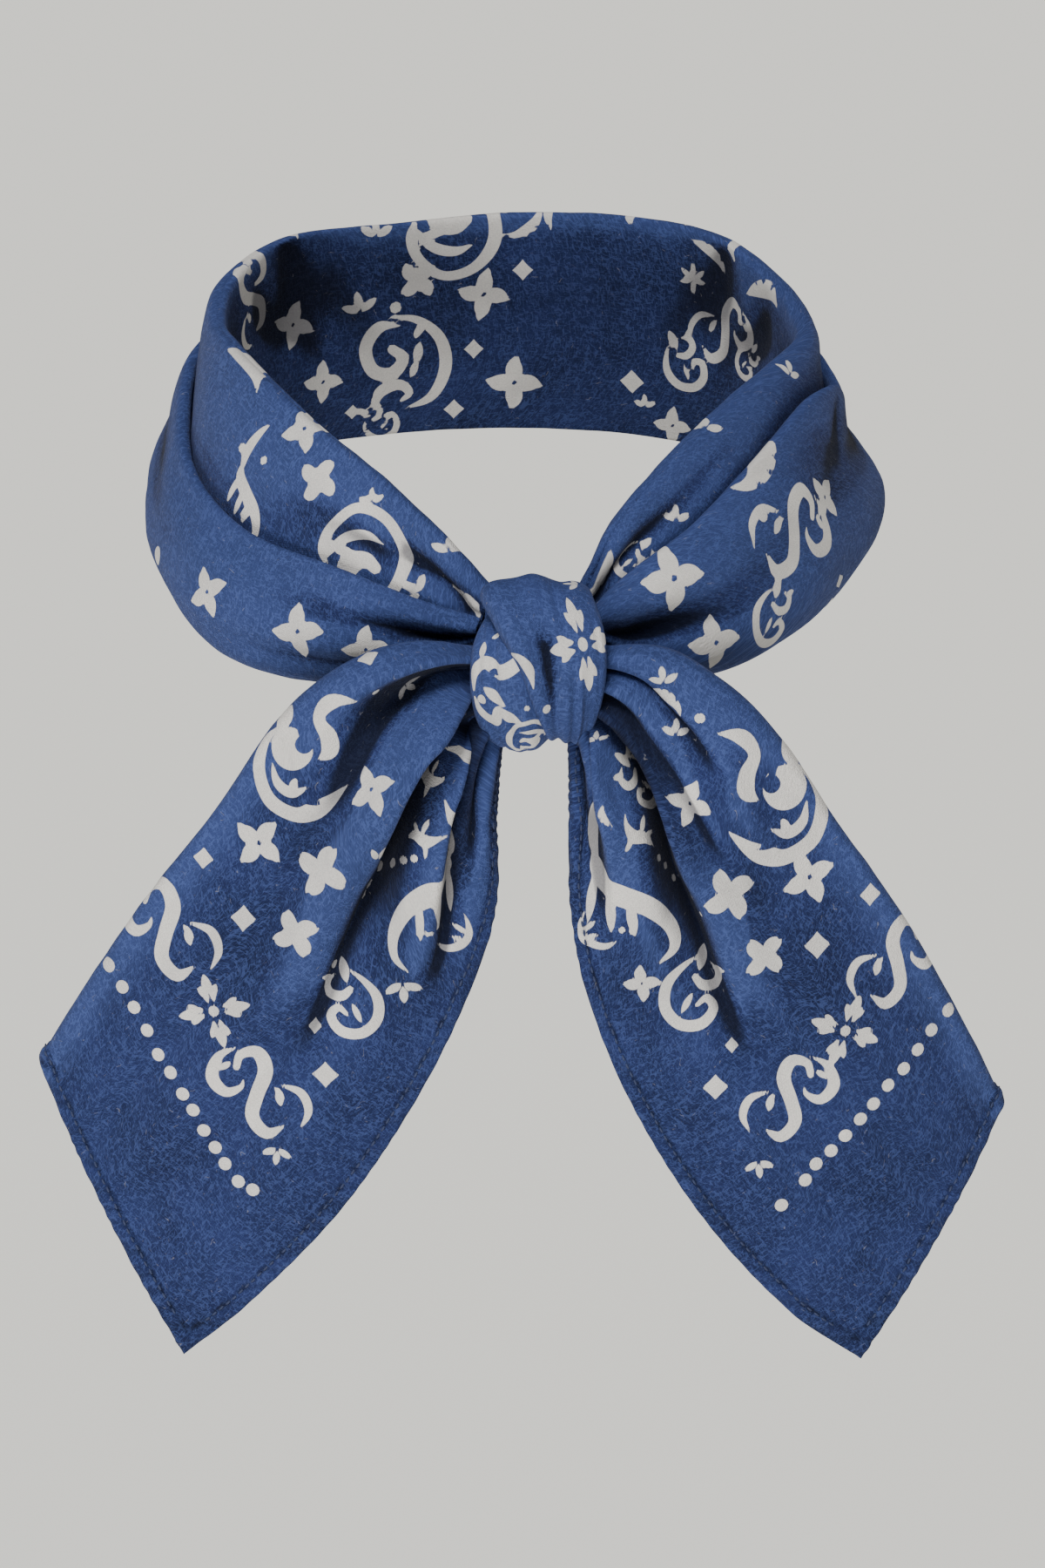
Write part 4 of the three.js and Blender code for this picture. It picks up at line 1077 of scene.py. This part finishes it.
# %% The left tail's print
# Each row: motif, its two places on the cloth, turn in degrees, size in mm, and -1 for a mirror image.
LEFT_MOTIFS = [
    (windmill, 0.486, 0.394, -138, 4.8, -1),
    (windmill, 0.392, 0.355, -102, 5.4, -1),
    (flower, 0.455, 0.155, -159, 5.4, -1),
    (flower, 0.257, 0.327, -96, 5.2, -1),
    (diamond, 0.577, 0.722, -124, 2.7, -1),
    (diamond, 0.549, 0.055, -127, 2.2, -1),
    (diamond, 0.542, 0.255, -126, 2.7, -1),
    (rosette, 0.668, 0.349, -107, 7.6, -1),
    (trefoil, 0.708, 0.75, 51, 3, -1),
    (s_scroll, 0.661, 0.099, -112, 9.8, -1),
    (s_scroll, 0.677, 0.6, -115, 9.4, -1),
    (crescent, 0.326, 0.099, -129, 11.4, -1),
    (plume, 0.254, 0.666, -128, 16.5, -1),
    (trefoil, 0.392, 0.778, 61, 3.6, -1),
    (curl, 0.476, 0.661, -103, 7.6, 1),
    *dots(0.9, (0.473, 0.544)),
    (diamond, 0.549, 0.616, -124, 1.7, -1),
    *dots(1.35, (0.79, 0.021), (0.787, 0.094), (0.787, 0.16), (0.784, 0.233), (0.79, 0.299), (0.784, 0.361),
          (0.784, 0.427), (0.787, 0.483), (0.79, 0.544), (0.79, 0.605), (0.79, 0.661), (0.784, 0.722),
          (0.774, 0.772)),
    (sprig, 0.232, 0.6, -143, 4.4, -1),
    *dots(0.8, (0.26, 0.611)),
    *dots(0.9, (0.276, 0.589)),
    *dots(1, (0.298, 0.566)),
    *dots(1.1, (0.326, 0.533)),
    *dots(1, (0.357, 0.516)),
    *dots(0.8, (0.373, 0.527)),
    (claw, 0.276, 0.867, -130, 4.4, -1),
    *dots(0.5, (0.323, 0.739)),
    *dots(0.6, (0.31, 0.761)),
    *dots(0.7, (0.298, 0.778)),
    (thorn, 0.107, 0.555, -113, 4.6, -1),
    (sprig, 0.166, 0.527, -166, 4.6, -1),
    (trefoil, 0.31, 0.444, -166, 2.8, -1),
    (trefoil, 0.129, 0.172, 118, 3.2, -1),
    *dots(0.8, (0.179, 0.099)),
    (diamond, 0.163, 0.005, -99, 2.2, -1),
    (flower, 0.32, -0.18, 0, 5, 1),
    (diamond, 0.46, -0.14, 0, 2.6, 1),
    (s_scroll, 0.6, -0.22, 20, 9, 1),
    (windmill, 0.75, -0.16, 0, 5, 1),
    (rosette, 0.87, -0.22, 0, 6.6, 1),
    (diamond, 0.7, -0.33, 0, 2.4, 1),
]
print(len(LEFT_MOTIFS), "motifs on the left tail")

# %% The right tail's print
RIGHT_MOTIFS = [
    *dots(1.35, (0.762, 0.794), (0.768, 0.694), (0.771, 0.639), (0.777, 0.577), (0.781, 0.511),
          (0.784, 0.444), (0.79, 0.383), (0.793, 0.316), (0.803, 0.244), (0.806, 0.177), (0.809, 0.105),
          (0.818, 0.021)),
    (s_scroll, 0.674, 0.583, -115, 8.8, -1),
    (s_scroll, 0.699, 0.088, -110, 9, -1),
    (rosette, 0.687, 0.327, -101, 7.6, 1),
    (trefoil, 0.696, 0.766, 50, 3, 1),
    (diamond, 0.574, 0.744, -126, 2.7, 1),
    (diamond, 0.605, 0.044, -124, 2.3, 1),
    (diamond, 0.577, 0.255, -126, 2.8, 1),
    (windmill, 0.514, 0.4, -134, 4.6, 1),
    (windmill, 0.408, 0.388, -117, 5.4, 1),
    (flower, 0.505, 0.155, -155, 5.6, 1),
    (flower, 0.266, 0.338, -110, 4.8, 1),
    (crescent, 0.382, 0.094, -134, 12.2, -1),
    (plume, 0.232, 0.722, -128, 17, -1),
    (flower, 0.382, 0.794, -135, 3.8, 1),
    (curl, 0.461, 0.644, -101, 8.2, 1),
    *dots(0.8, (0.276, 0.566), (0.298, 0.561), (0.326, 0.55)),
    (diamond, 0.558, 0.639, -125, 1.6, 1),
    *dots(0.8, (0.395, 0.477), (0.37, 0.477)),
    (claw, 0.26, 0.905, -137, 4.4, -1),
    *dots(0.6, (0.313, 0.75)),
    *dots(0.7, (0.298, 0.783)),
    *dots(0.8, (0.276, 0.817)),
    (sprig, 0.223, 0.589, -108, 4.6, -1),
    (thorn, 0.097, 0.5, -109, 5, 1),
    (curl, 0.166, 0.516, 161, 6.6, -1),
    (trefoil, 0.072, 0.55, -122, 2.2, 1),
    (leaf, 0.154, 0.672, 37, 2.4, 1),
    (leaf, 0.138, 0.138, 178, 4.4, 1),
    (trefoil, 0.122, 0.099, -126, 2.8, 1),
    *dots(1, (0.201, 0.116)),
    (trefoil, 0.182, 0.227, -122, 2.8, 1),
    (windmill, 0.3, -0.16, 0, 5, 1),
    (diamond, 0.43, -0.2, 0, 2.6, 1),
    (crescent, 0.58, -0.2, -20, 9, -1),
    (flower, 0.75, -0.18, 0, 5.2, 1),
    (curl, 0.88, -0.24, 0, 7, -1),
    *dots(1.4, (0.68, -0.33)),
]
print(len(RIGHT_MOTIFS), "motifs on the right tail")

# %% Both tails
left_tail, left_points, left_edges, left_toward = tail_cloth("tail_left_cloth", LEFT_TAIL, LEFT_PLEATS,
    LEFT_GATHERS, LEFT_LAPS, LEFT_MOTIFS, 11)
right_tail, right_points, right_edges, right_toward = tail_cloth("tail_right_cloth", RIGHT_TAIL,
    RIGHT_PLEATS, RIGHT_GATHERS, RIGHT_LAPS, RIGHT_MOTIFS, 23)
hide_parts("tail_left")
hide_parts("tail_right")

# %% [markdown]
# ## Hem stitches
# A machine sews the hem with a straight stitch, so the thread shows as a row of short dashes near the hem's inner
# edge. Each is one small squashed sphere, laid along the row and half sunk in the cloth. A texture of dashes
# would do from afar, but real thread stands up and casts its own small shadow.

# %% Thread
STITCH_PITCH, STITCH_LONG = 1.9, 1.4  # from one stitch to the next, and the length of one, mm
thread_paint = bpy.data.materials.new("sewing_thread")
thread_paint.use_nodes = True
tree = thread_paint.node_tree
twist = noise(tree, node(tree, "ShaderNodeTexCoord").outputs["Object"], 1400, 1.0)
tree.links.new(mix(tree, twist, paint(18, 27, 56), paint(34, 47, 84)),
    tree.nodes["Principled BSDF"].inputs["Base Color"])
tree.nodes["Principled BSDF"].inputs["Roughness"].default_value = 0.7
print("a stitch each", STITCH_PITCH, "mm")


# %% A row of stitches
def line_at(points, distance, at):
    """The line over a grid where a distance that falls along each row has one value."""
    line = []
    for row, far in zip(points, distance):
        if far.min() < at < far.max():
            k = np.interp(at, far[::-1], np.arange(len(far))[::-1])
            n = int(k)
            line.append(row[n] + (row[min(n + 1, len(row) - 1)] - row[n]) * (k - n))
    return np.array(line)


def even_line(line, step):
    way = np.append(0, np.cumsum(np.linalg.norm(np.diff(line, axis=0), axis=-1)))
    at = np.arange(step, way[-1] - step, step)
    return np.stack([np.interp(at, way, line[:, c]) for c in range(3)], -1)


def sewn_row(bm, line, out):
    spots = even_line(line, STITCH_PITCH)
    for here, ahead in zip(spots[:-1], spots[1:]):
        way = Vector(ahead - here).normalized()
        up = Vector(out(here))
        side = way.cross(up).normalized()
        up = side.cross(way)
        place = Matrix.Translation(Vector(here + np.array(up) * 0.1) * MM)
        turn = Matrix((side, up, way)).transposed().to_4x4()
        size = Matrix.Diagonal((0.28 * MM, 0.18 * MM, STITCH_LONG / 2 * MM, 1))
        bmesh.ops.create_uvsphere(bm, u_segments=6, v_segments=4, radius=1, matrix=place @ turn @ size)


print("a row follows its hem at an even step")


# %% Both tails' stitches
def hem_stitches(name, points, to_hem, toward):
    outs = facing(points, toward)
    flat_points, flat_outs = points.reshape(-1, 3), outs.reshape(-1, 3)

    def out(spot):
        return flat_outs[np.linalg.norm(flat_points - spot, axis=1).argmin()]

    bm = bmesh.new()
    above = to_hem[1][:, 0] > STITCH_LINE  # rows of the grid that don't reach the short hem's stitches
    sewn_row(bm, line_at(points[above], to_hem[0][above], STITCH_LINE), out)
    sewn_row(bm, line_at(points[above, ::-1], to_hem[2][above, ::-1], STITCH_LINE), out)
    inner = slice(5, -6)
    sewn_row(bm, line_at(points.transpose(1, 0, 2)[inner], to_hem[1].T[inner], STITCH_LINE), out)
    mesh = bpy.data.meshes.new(name)
    bm.to_mesh(mesh)
    bm.free()
    mesh.polygons.foreach_set("use_smooth", np.ones(len(mesh.polygons), bool))
    mesh.materials.append(thread_paint)
    obj = bpy.data.objects.new(name, mesh)
    bpy.context.collection.objects.link(obj)
    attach(obj, "root")
    print(name, len(mesh.polygons) // 24, "stitches")
    return obj


left_thread = hem_stitches("hem_stitches_left", left_points, left_edges, left_toward)
right_thread = hem_stitches("hem_stitches_right", right_points, right_edges, right_toward)

# %% [markdown]
# ## The neck band
# The inner stretch lines the neck, rolls over the rim and goes down outside to behind the outer fold. The outer
# fold starts at its turned-in lip, crosses the front and sides, and curls in under the foot. One tube with a
# groove would be simpler, but the lip of a folded cloth has a real gap behind it, so there are two sheets.

# %% The band's fine creases
# Fine creases that only the thin cloth has: place k0, k1, k2 across the band between the ways u0 and u1 round it.
INNER_CREASES = [
    (0.9, 0.82, 0.74, 0, 0.08, -1.6, 0.035),
    (0.96, 0.9, 0.84, 0, 0.07, 1.0, 0.04),
    (0.9, 0.86, 0.86, 1, 0.9, -1.4, 0.04),
    (0.7, 0.66, 0.62, 1, 0.9, -0.8, 0.04),
    (0.36, 0.28, 0.18, 0.31, 0.4, -1.6, 0.06),
    (0.36, 0.28, 0.18, 0.71, 0.62, -1.6, 0.06),
    (0.66, 0.7, 0.72, 0.36, 0.5, -1.0, 0.05),
    (0.7, 0.68, 0.66, 0.62, 0.52, -1.0, 0.05),
]
OUTER_CREASES = [
    (0.58, 0.54, 0.58, 0, 0.06, -1.4, 0.04),
    (0.42, 0.42, 0.46, 0, 0.08, 1.0, 0.05),
    (0.7, 0.66, 0.62, 0, 0.07, -1.0, 0.035),
    (0.56, 0.56, 0.6, 1, 0.9, -1.6, 0.05),
    (0.72, 0.7, 0.68, 1, 0.93, -1.0, 0.035),
    (0.42, 0.44, 0.46, 1, 0.92, 0.9, 0.05),
    (0.38, 0.48, 0.52, 0.76, 0.84, -0.7, 0.035),
    (0.46, 0.52, 0.6, 0.36, 0.5, -1.2, 0.06),
    (0.6, 0.54, 0.46, 0.66, 0.52, -1.1, 0.06),
]


print("fine creases:", len(INNER_CREASES), "inside and", len(OUTER_CREASES), "outside")


# %% One stretch of the band
def band_cloth(name, section, pleats, rows, columns, motifs, seed):
    def surface(u, k):
        return band_point(section, pleats, u, k)

    ks = even_places(surface, 0, 1, columns)
    round_ = np.linspace(0, 1, rows + 1)
    us = round_ - 0.12 * np.sin(2 * pi * round_) / (2 * pi)
    points = grid(surface, us, ks)
    across, along = flat_cloth(points)
    rumple = 0.3 * soft_noise(along * 0.5, across, 12, seed) + 0.1 * soft_noise(along, across, 4.5, seed + 1)
    lift = HALF_WALL + rumple
    ink = printed(points, us, ks, motifs)
    middle = len(ks) * 3 // 5
    u, _ = np.meshgrid(us, ks, indexing="ij")
    outside = band_frame(us)["out"][:, None, :] * np.where(np.arange(len(ks)) > middle, 1, 0)[None, :, None]
    return lay_cloth(name, points, lift, np.full(across.shape, CLOTH), ink, outside,
        [right_side, wrong_side])


print("a stretch is one sheet of cloth round the neck")

# %% The inner stretch's print
INNER_MOTIFS = [
    (windmill, 0.102, 0.799, -57, 4.6, -1),
    (flower, 0.12, 0.703, -52, 5.2, -1),
    (leaf, 0.178, 0.653, -18, 7.6, -1),
    (plume, 0.14, 0.874, -104, 11.5, 1),
    (paisley, 0.068, 0.887, -79, 10.6, -1),
    (diamond, 0.14, 0.921, -71, 1.5, -1),
    (trefoil, 0.07, 0.757, -69, 2.6, -1),
    (trefoil, 0.038, 0.908, -17, 3.4, -1),
    (diamond, 0.136, 0.824, -65, 1.3, -1),
    (diamond, 0.156, 0.837, -65, 1.4, -1),
    (trefoil, 0.028, 0.686, -74, 3.2, -1),
    (leaf, 0.012, 0.874, -35, 5, -1),
    (trefoil, 0.932, 0.887, -111, 3, -1),
    (leaf, 0.986, 0.816, -135, 5.2, -1),
    (curl, 0.96, 0.9, -153, 4.6, -1),
    (trefoil, 0.812, 0.766, -127, 3, -1),
    (paisley, 0.459, 0.414, -89, 11, 1),
    (leaf, 0.503, 0.423, 32, 5, -1),
    (trefoil, 0.415, 0.439, 90, 3.6, -1),
    *dots(0.9, (0.459, 0.46), (0.465, 0.473)),
    (windmill, 0.439, 0.331, 97, 4.6, -1),
    (flower, 0.477, 0.297, 85, 5.8, -1),
    (flower, 0.495, 0.113, 90, 6.2, -1),
    (flower, 0.385, 0.146, 93, 4.8, -1),
    (flower, 0.365, 0.268, 78, 5.4, -1),
    (diamond, 0.499, 0.335, 90, 2.3, -1),
    (diamond, 0.471, 0.184, 91, 2.2, -1),
    (diamond, 0.463, 0.059, 92, 2.3, -1),
    (diamond, 0.569, 0.126, 86, 2.8, -1),
    (spiral, 0.431, 0.163, 84, 10.5, -1),
    (trefoil, 0.407, 0.285, 105, 4, -1),
    *dots(1.3, (0.427, 0.28)),
    (diamond, 0.405, 0.075, 94, 1.8, -1),
    (curl, 0.419, 0.046, 139, 5, -1),
    (s_scroll, 0.321, 0.364, 137, 8.856, 1),
    (star_leaf, 0.615, 0.343, 84, 4.6, -1),
    (leaf, 0.691, 0.414, -179, 7.6, -1),
    (s_scroll, 0.641, 0.272, 60, 7.992, 1),
    (curl, 0.605, 0.184, 109, 6.6, -1),
    (flower, 0.593, 0.042, 84, 4.4, -1),
    (leaf, 0.633, 0.41, 135, 5.5, -1),
    (trefoil, 0.575, 0.079, 86, 2.6, -1),
    (trefoil, 0.894, 0.64, -135, 3.4, -1),
    (curl, 0.665, 0.238, 47, 4.6, -1),
    (flower, 0.33, 0.72, 0, 4.6, 1),
    (diamond, 0.365, 0.68, 0, 2.2, 1),
    (trefoil, 0.4, 0.74, 0, 3.4, 1),
    (windmill, 0.46, 0.71, 0, 4.8, 1),
    *dots(1.3, (0.49, 0.68)),
    (leaf, 0.52, 0.72, 70, 6.5, 1),
    (flower, 0.57, 0.73, 0, 4.6, 1),
    (diamond, 0.61, 0.7, 0, 2.3, 1),
    (leaf, 0.65, 0.73, -70, 6.5, -1),
]
print(len(INNER_MOTIFS), "motifs on the inner stretch")

# %% The outer stretch's print
OUTER_MOTIFS = [
    (flower, 0.136, 0.569, -50, 5.2, -1),
    (flower, 0.084, 0.582, -71, 5.6, -1),
    (flower, 0.054, 0.598, -73, 4.8, -1),
    *dots(1.2, (0.319, 0.619)),
    *dots(1.8, (0.196, 0.607)),
    (flower, 0.948, 0.448, -92, 6.6, -1),
    (flower, 0.934, 0.661, -92, 5.6, -1),
    (s_scroll, 0.87, 0.531, -139, 10.4, 1),
    (flower, 0.83, 0.531, -146, 5.2, -1),
    (curl, 0.896, 0.653, -124, 6.6, -1),
    (leaf, 0.876, 0.347, -152, 9.8, -1),
    *dots(1.2, (0.888, 0.464)),
    (diamond, 0.83, 0.699, -68, 1.8, -1),
    *dots(1, (0.832, 0.766)),
    (flower, 0.3, 0.55, 20, 5.4, 1),
    (diamond, 0.332, 0.42, 0, 2.4, 1),
    (s_scroll, 0.37, 0.56, 70, 9, 1),
    (windmill, 0.412, 0.45, 10, 5, 1),
    (rosette, 0.452, 0.58, 0, 7, 1),
    *dots(1.4, (0.478, 0.42)),
    (flower, 0.5, 0.5, 0, 5.4, 1),
    (curl, 0.545, 0.58, 30, 7, -1),
    (windmill, 0.585, 0.45, 15, 5, 1),
    (diamond, 0.61, 0.62, 0, 2.6, 1),
    (crescent, 0.652, 0.54, -60, 9.5, -1),
    (flower, 0.695, 0.6, 10, 5.2, 1),
    (trefoil, 0.718, 0.42, 0, 3.4, 1),
]
print(len(OUTER_MOTIFS), "motifs on the outer stretch")

# %% Both stretches
band_inner = band_cloth("band_inner_cloth", inner_section, INNER_PLEATS + INNER_CREASES, 440, 108,
    INNER_MOTIFS, 31)
band_outer = band_cloth("band_outer_cloth", outer_section, OUTER_PLEATS + OUTER_CREASES, 560, 86,
    OUTER_MOTIFS, 43)
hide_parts("neck_band_inner")
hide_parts("neck_band_outer")

# %% [markdown]
# ## The knot
# The knot is the same cloth, gathered to a strap and wrapped once over and once under. A strap is closed here as
# a long pouch: a grid whose two long edges meet along its hidden inner side, and whose ends are drawn to a point.
# One sculpted lump would look softer from the front, but its wraps would not cross over each other.

# %% Knot tables
OVER_WRAP = table(
    "at leftX leftY leftZ rightX rightY rightZ thick",
    (0.0, -5, -62, -18, 11, -62, -19, 2.0),
    (0.12, -7.5, -67, -15.3, 12.5, -67, -15.3, 2.8),
    (0.26, -8, -73.5, -14.5, 13.6, -73, -15, 3.4),
    (0.42, -5.2, -78, -18.8, 15.6, -77, -20, 3.8),
    (0.58, -1.6, -80, -25, 16, -78.5, -27.5, 4.0),
    (0.74, 1.6, -79.5, -33.5, 14.8, -77, -35.5, 4.0),
    (0.88, 4.6, -74.5, -40, 12.8, -73, -40.8, 3.4),
    (1.0, 5.5, -67, -39, 12, -66, -39, 2.0),
)
UNDER_WRAP = table(
    "at leftX leftY leftZ rightX rightY rightZ thick",
    (0.0, -5, -62, -21, 5, -62, -19, 2.0),
    (0.15, -7, -69, -20.5, 5, -70, -18.5, 3.0),
    (0.32, -9.4, -74, -24.5, 5, -77, -22, 4.2),
    (0.5, -9.9, -75.5, -31, 5.5, -80, -29, 4.8),
    (0.68, -9, -75.5, -37, 6.5, -79, -37.5, 4.6),
    (0.84, -6.6, -72, -41.5, 6.6, -75, -42, 3.6),
    (1.0, -4, -65.5, -41, 5.5, -67, -41, 2.0),
)
print("wraps:", len(OVER_WRAP["at"]), "and", len(UNDER_WRAP["at"]), "sections")

# %% The wraps' pleats
# Each row: where the pleat starts and ends across the strap (-1 to 1), where along it (0 to 1), height and width.
OVER_PLEATS = [
    (0.0, -0.2, 0.02, 0.5, 0.9, 0.22),
    (0.0, -0.5, 0.16, 1.04, -1.5, 0.2),
    (0.3, 0.08, 0.5, 1.0, -0.8, 0.13),
    (0.62, 0.7, 0.52, 1.0, -0.7, 0.14),
    (0.55, 0.4, 0.0, 0.3, -0.6, 0.16),
]
UNDER_PLEATS = [(-0.35, -0.2, 0.1, 0.6, -0.8, 0.14), (0.1, 0.35, 0.55, 1.0, -1.0, 0.14)]


print("pleats:", len(OVER_PLEATS), "over and", len(UNDER_PLEATS), "under")


# %% Strap surfaces
def strap_point(rows, pleats, t, turn):
    """turn runs once round the strap, from its hidden inner side."""
    left, right = point(rows, "left", t), point(rows, "right", t)
    ahead = sum(point(rows, e, t + 0.01) - point(rows, e, t - 0.01) for e in ("left", "right"))
    half = np.linalg.norm(right - left, axis=-1) / 2
    side, along = unit(right - left), unit(ahead)
    out = unit(np.cross(along, side))
    end = 0.5 + 0.5 * np.sqrt(np.clip(np.minimum(7 * t, 7 * (1 - t)), 0, 1))
    angle = -pi / 2 + 2 * pi * turn
    across, up = np.cos(angle), np.sin(angle)
    bulge = np.sign(up) * np.abs(up) ** 0.8
    pleat = np.zeros_like(t)
    for a0, a1, t0, t1, height, width in pleats:
        share = (t - t0) / (t1 - t0)
        at = a0 + (a1 - a0) * share
        fold = height * np.exp(-(((across - at) / width) ** 2)) * np.sin(pi * np.clip(share, 0, 1))
        pleat += np.where((share < 0) | (share > 1), 0, fold)
    pleat *= np.where(up > 0, np.minimum(1, 2.5 * up), 0)
    thick = through(rows, "thick", t)
    middle = (left + right) / 2
    return middle + side * (across * half * end)[:, None] + out * (bulge * thick * end + pleat)[:, None]


def core_point(t, turn):
    angle = 2 * pi * turn
    x, y, z, high, deep = [through(CORE, n, t) for n in ("x", "y", "z", "high", "deep")]
    return np.stack([x, y + np.cos(angle) * deep, z + np.sin(angle) * high], -1)


print("a strap's cross-section is a flat round tube")

# %% The bundle and the fine pleats
CORE = table(
    "at x y z high deep",
    (0.0, -7.5, -66, -24, 4.5, 3),
    (0.25, -3, -67.5, -26, 8, 4.5),
    (0.5, 3, -68, -27.5, 9.5, 5),
    (0.75, 9, -67.5, -26, 8, 4.5),
    (1.0, 13.5, -66, -24, 4.5, 3),
)
OVER_FINE = [
    (-0.55, -0.75, 0.2, 0.7, 0.35, 0.12),
    (0.3, 0.15, 0.12, 0.55, -0.35, 0.07),
    (0.8, 0.85, 0.3, 0.8, -0.3, 0.06),
    (0.42, 0.38, 0.5, 1.0, 0.35, 0.08),
    (-0.84, -0.86, 0.1, 1.05, 1.1, 0.22),
    (0.5, 0.48, 0.56, 1.0, -0.4, 0.07),
]
UNDER_FINE = [
    (-0.7, -0.6, 0.2, 0.7, -0.35, 0.08),
    (-0.1, 0.05, 0.3, 0.9, 0.4, 0.12),
    (-0.5, -0.3, 0.6, 1.0, -0.5, 0.08),
    (0.86, 0.84, 0.22, 1.1, -2.6, 0.3),
    (0.2, 0.4, 0.72, 1.05, 0.8, 0.12),
]


print("fine pleats:", len(OVER_FINE), "over and", len(UNDER_FINE), "under")


# %% A closed pouch
def pouch(name, surface, rows, columns, motifs, seed):
    """A closed pouch from a surface whose second place runs once round."""
    ts = np.linspace(0, 1, rows + 1)
    turns = np.linspace(0, 1, columns + 1)
    points = grid(surface, ts, turns)
    points[:, -1] = points[:, 0]
    centre = points.mean(1, keepdims=True)
    across, along = flat_cloth(points)
    ink = printed(points, ts, turns, motifs)
    out = facing(points, points - centre)
    ripple = 0.12 * soft_noise(across, along * 0.5, 5, seed)
    ripple[:, -1] = ripple[:, 0]
    out[:, -1] = out[:, 0]
    points = points + out * ripple[..., None]
    points[0], points[-1] = centre[0], centre[-1]
    obj, i, j = grid_object(name, columns, rows)
    mesh = obj.data
    mesh.vertices.foreach_set("co", (points[i, j] * MM).ravel())
    keep_on(mesh, "cloth", "FLOAT_VECTOR", np.stack([across, along, 0 * along], -1)[i, j])
    keep_on(mesh, "ink", "FLOAT", ink[i, j])
    fold = fold_of(points, out)
    # Painted highlight over the whole knot, lifted towards the crest blue, and deeper painted shade at the bottom
    # of its folds.
    keep_on(mesh, "fold", "FLOAT", (0.3 + fold * np.where(fold < 0, 1.4, 0.7))[i, j])
    bm = bmesh.new()
    bm.from_mesh(mesh)
    bmesh.ops.remove_doubles(bm, verts=bm.verts, dist=1e-6)
    bmesh.ops.recalc_face_normals(bm, faces=bm.faces)
    for face in bm.faces:
        face.smooth = True
    bm.to_mesh(mesh)
    bm.free()
    mesh.materials.append(right_side)
    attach(obj, "root")
    print(name, len(mesh.polygons), "faces")
    return obj


print("a pouch is closed, so it has no open edge to see into")

# %% Knot pieces
OVER_MOTIFS = [
    (trefoil, 0.228, 0.377, 95, 2.4, 1),
    *dots(0.9, (0.718, 0.591)),
    (tall_rosette, 0.477, 0.415, 163, 9.6, 1),
    (thorn, 0.591, 0.673, 170, 3.9, 1),
]
UNDER_MOTIFS = [
    (wave, 0.43, 0.541, -178, 8, 1),
    (paisley, 0.718, 0.434, -176, 5, -1),
    *dots(0.6, (0.584, 0.421)),
]


def over_wrap(t, turn):
    return strap_point(OVER_WRAP, OVER_PLEATS + OVER_FINE, t, turn)


def under_wrap(t, turn):
    return strap_point(UNDER_WRAP, UNDER_PLEATS + UNDER_FINE, t, turn)


knot_over = pouch("knot_over_cloth", over_wrap, 150, 160, OVER_MOTIFS, 51)
knot_under = pouch("knot_under_cloth", under_wrap, 130, 140, UNDER_MOTIFS, 57)
knot_core = pouch("knot_core_cloth", core_point, 60, 90, [], 61)
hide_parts("knot_over")
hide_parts("knot_under")
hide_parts("knot_core")
print("the knot has", len(OVER_MOTIFS) + len(UNDER_MOTIFS), "motifs")

# %% Flat sizes
def flat_size(obj):
    """Half the surface of a finished piece of cloth, in square metres."""
    done = obj.evaluated_get(bpy.context.evaluated_depsgraph_get()).to_mesh()
    return sum(p.area for p in done.polygons) / 2


for obj in (left_tail, right_tail, band_inner, band_outer, knot_over, knot_under, knot_core):
    print(obj.name, "measures", round(flat_size(obj) * 1e4, 1), "square cm of cloth")
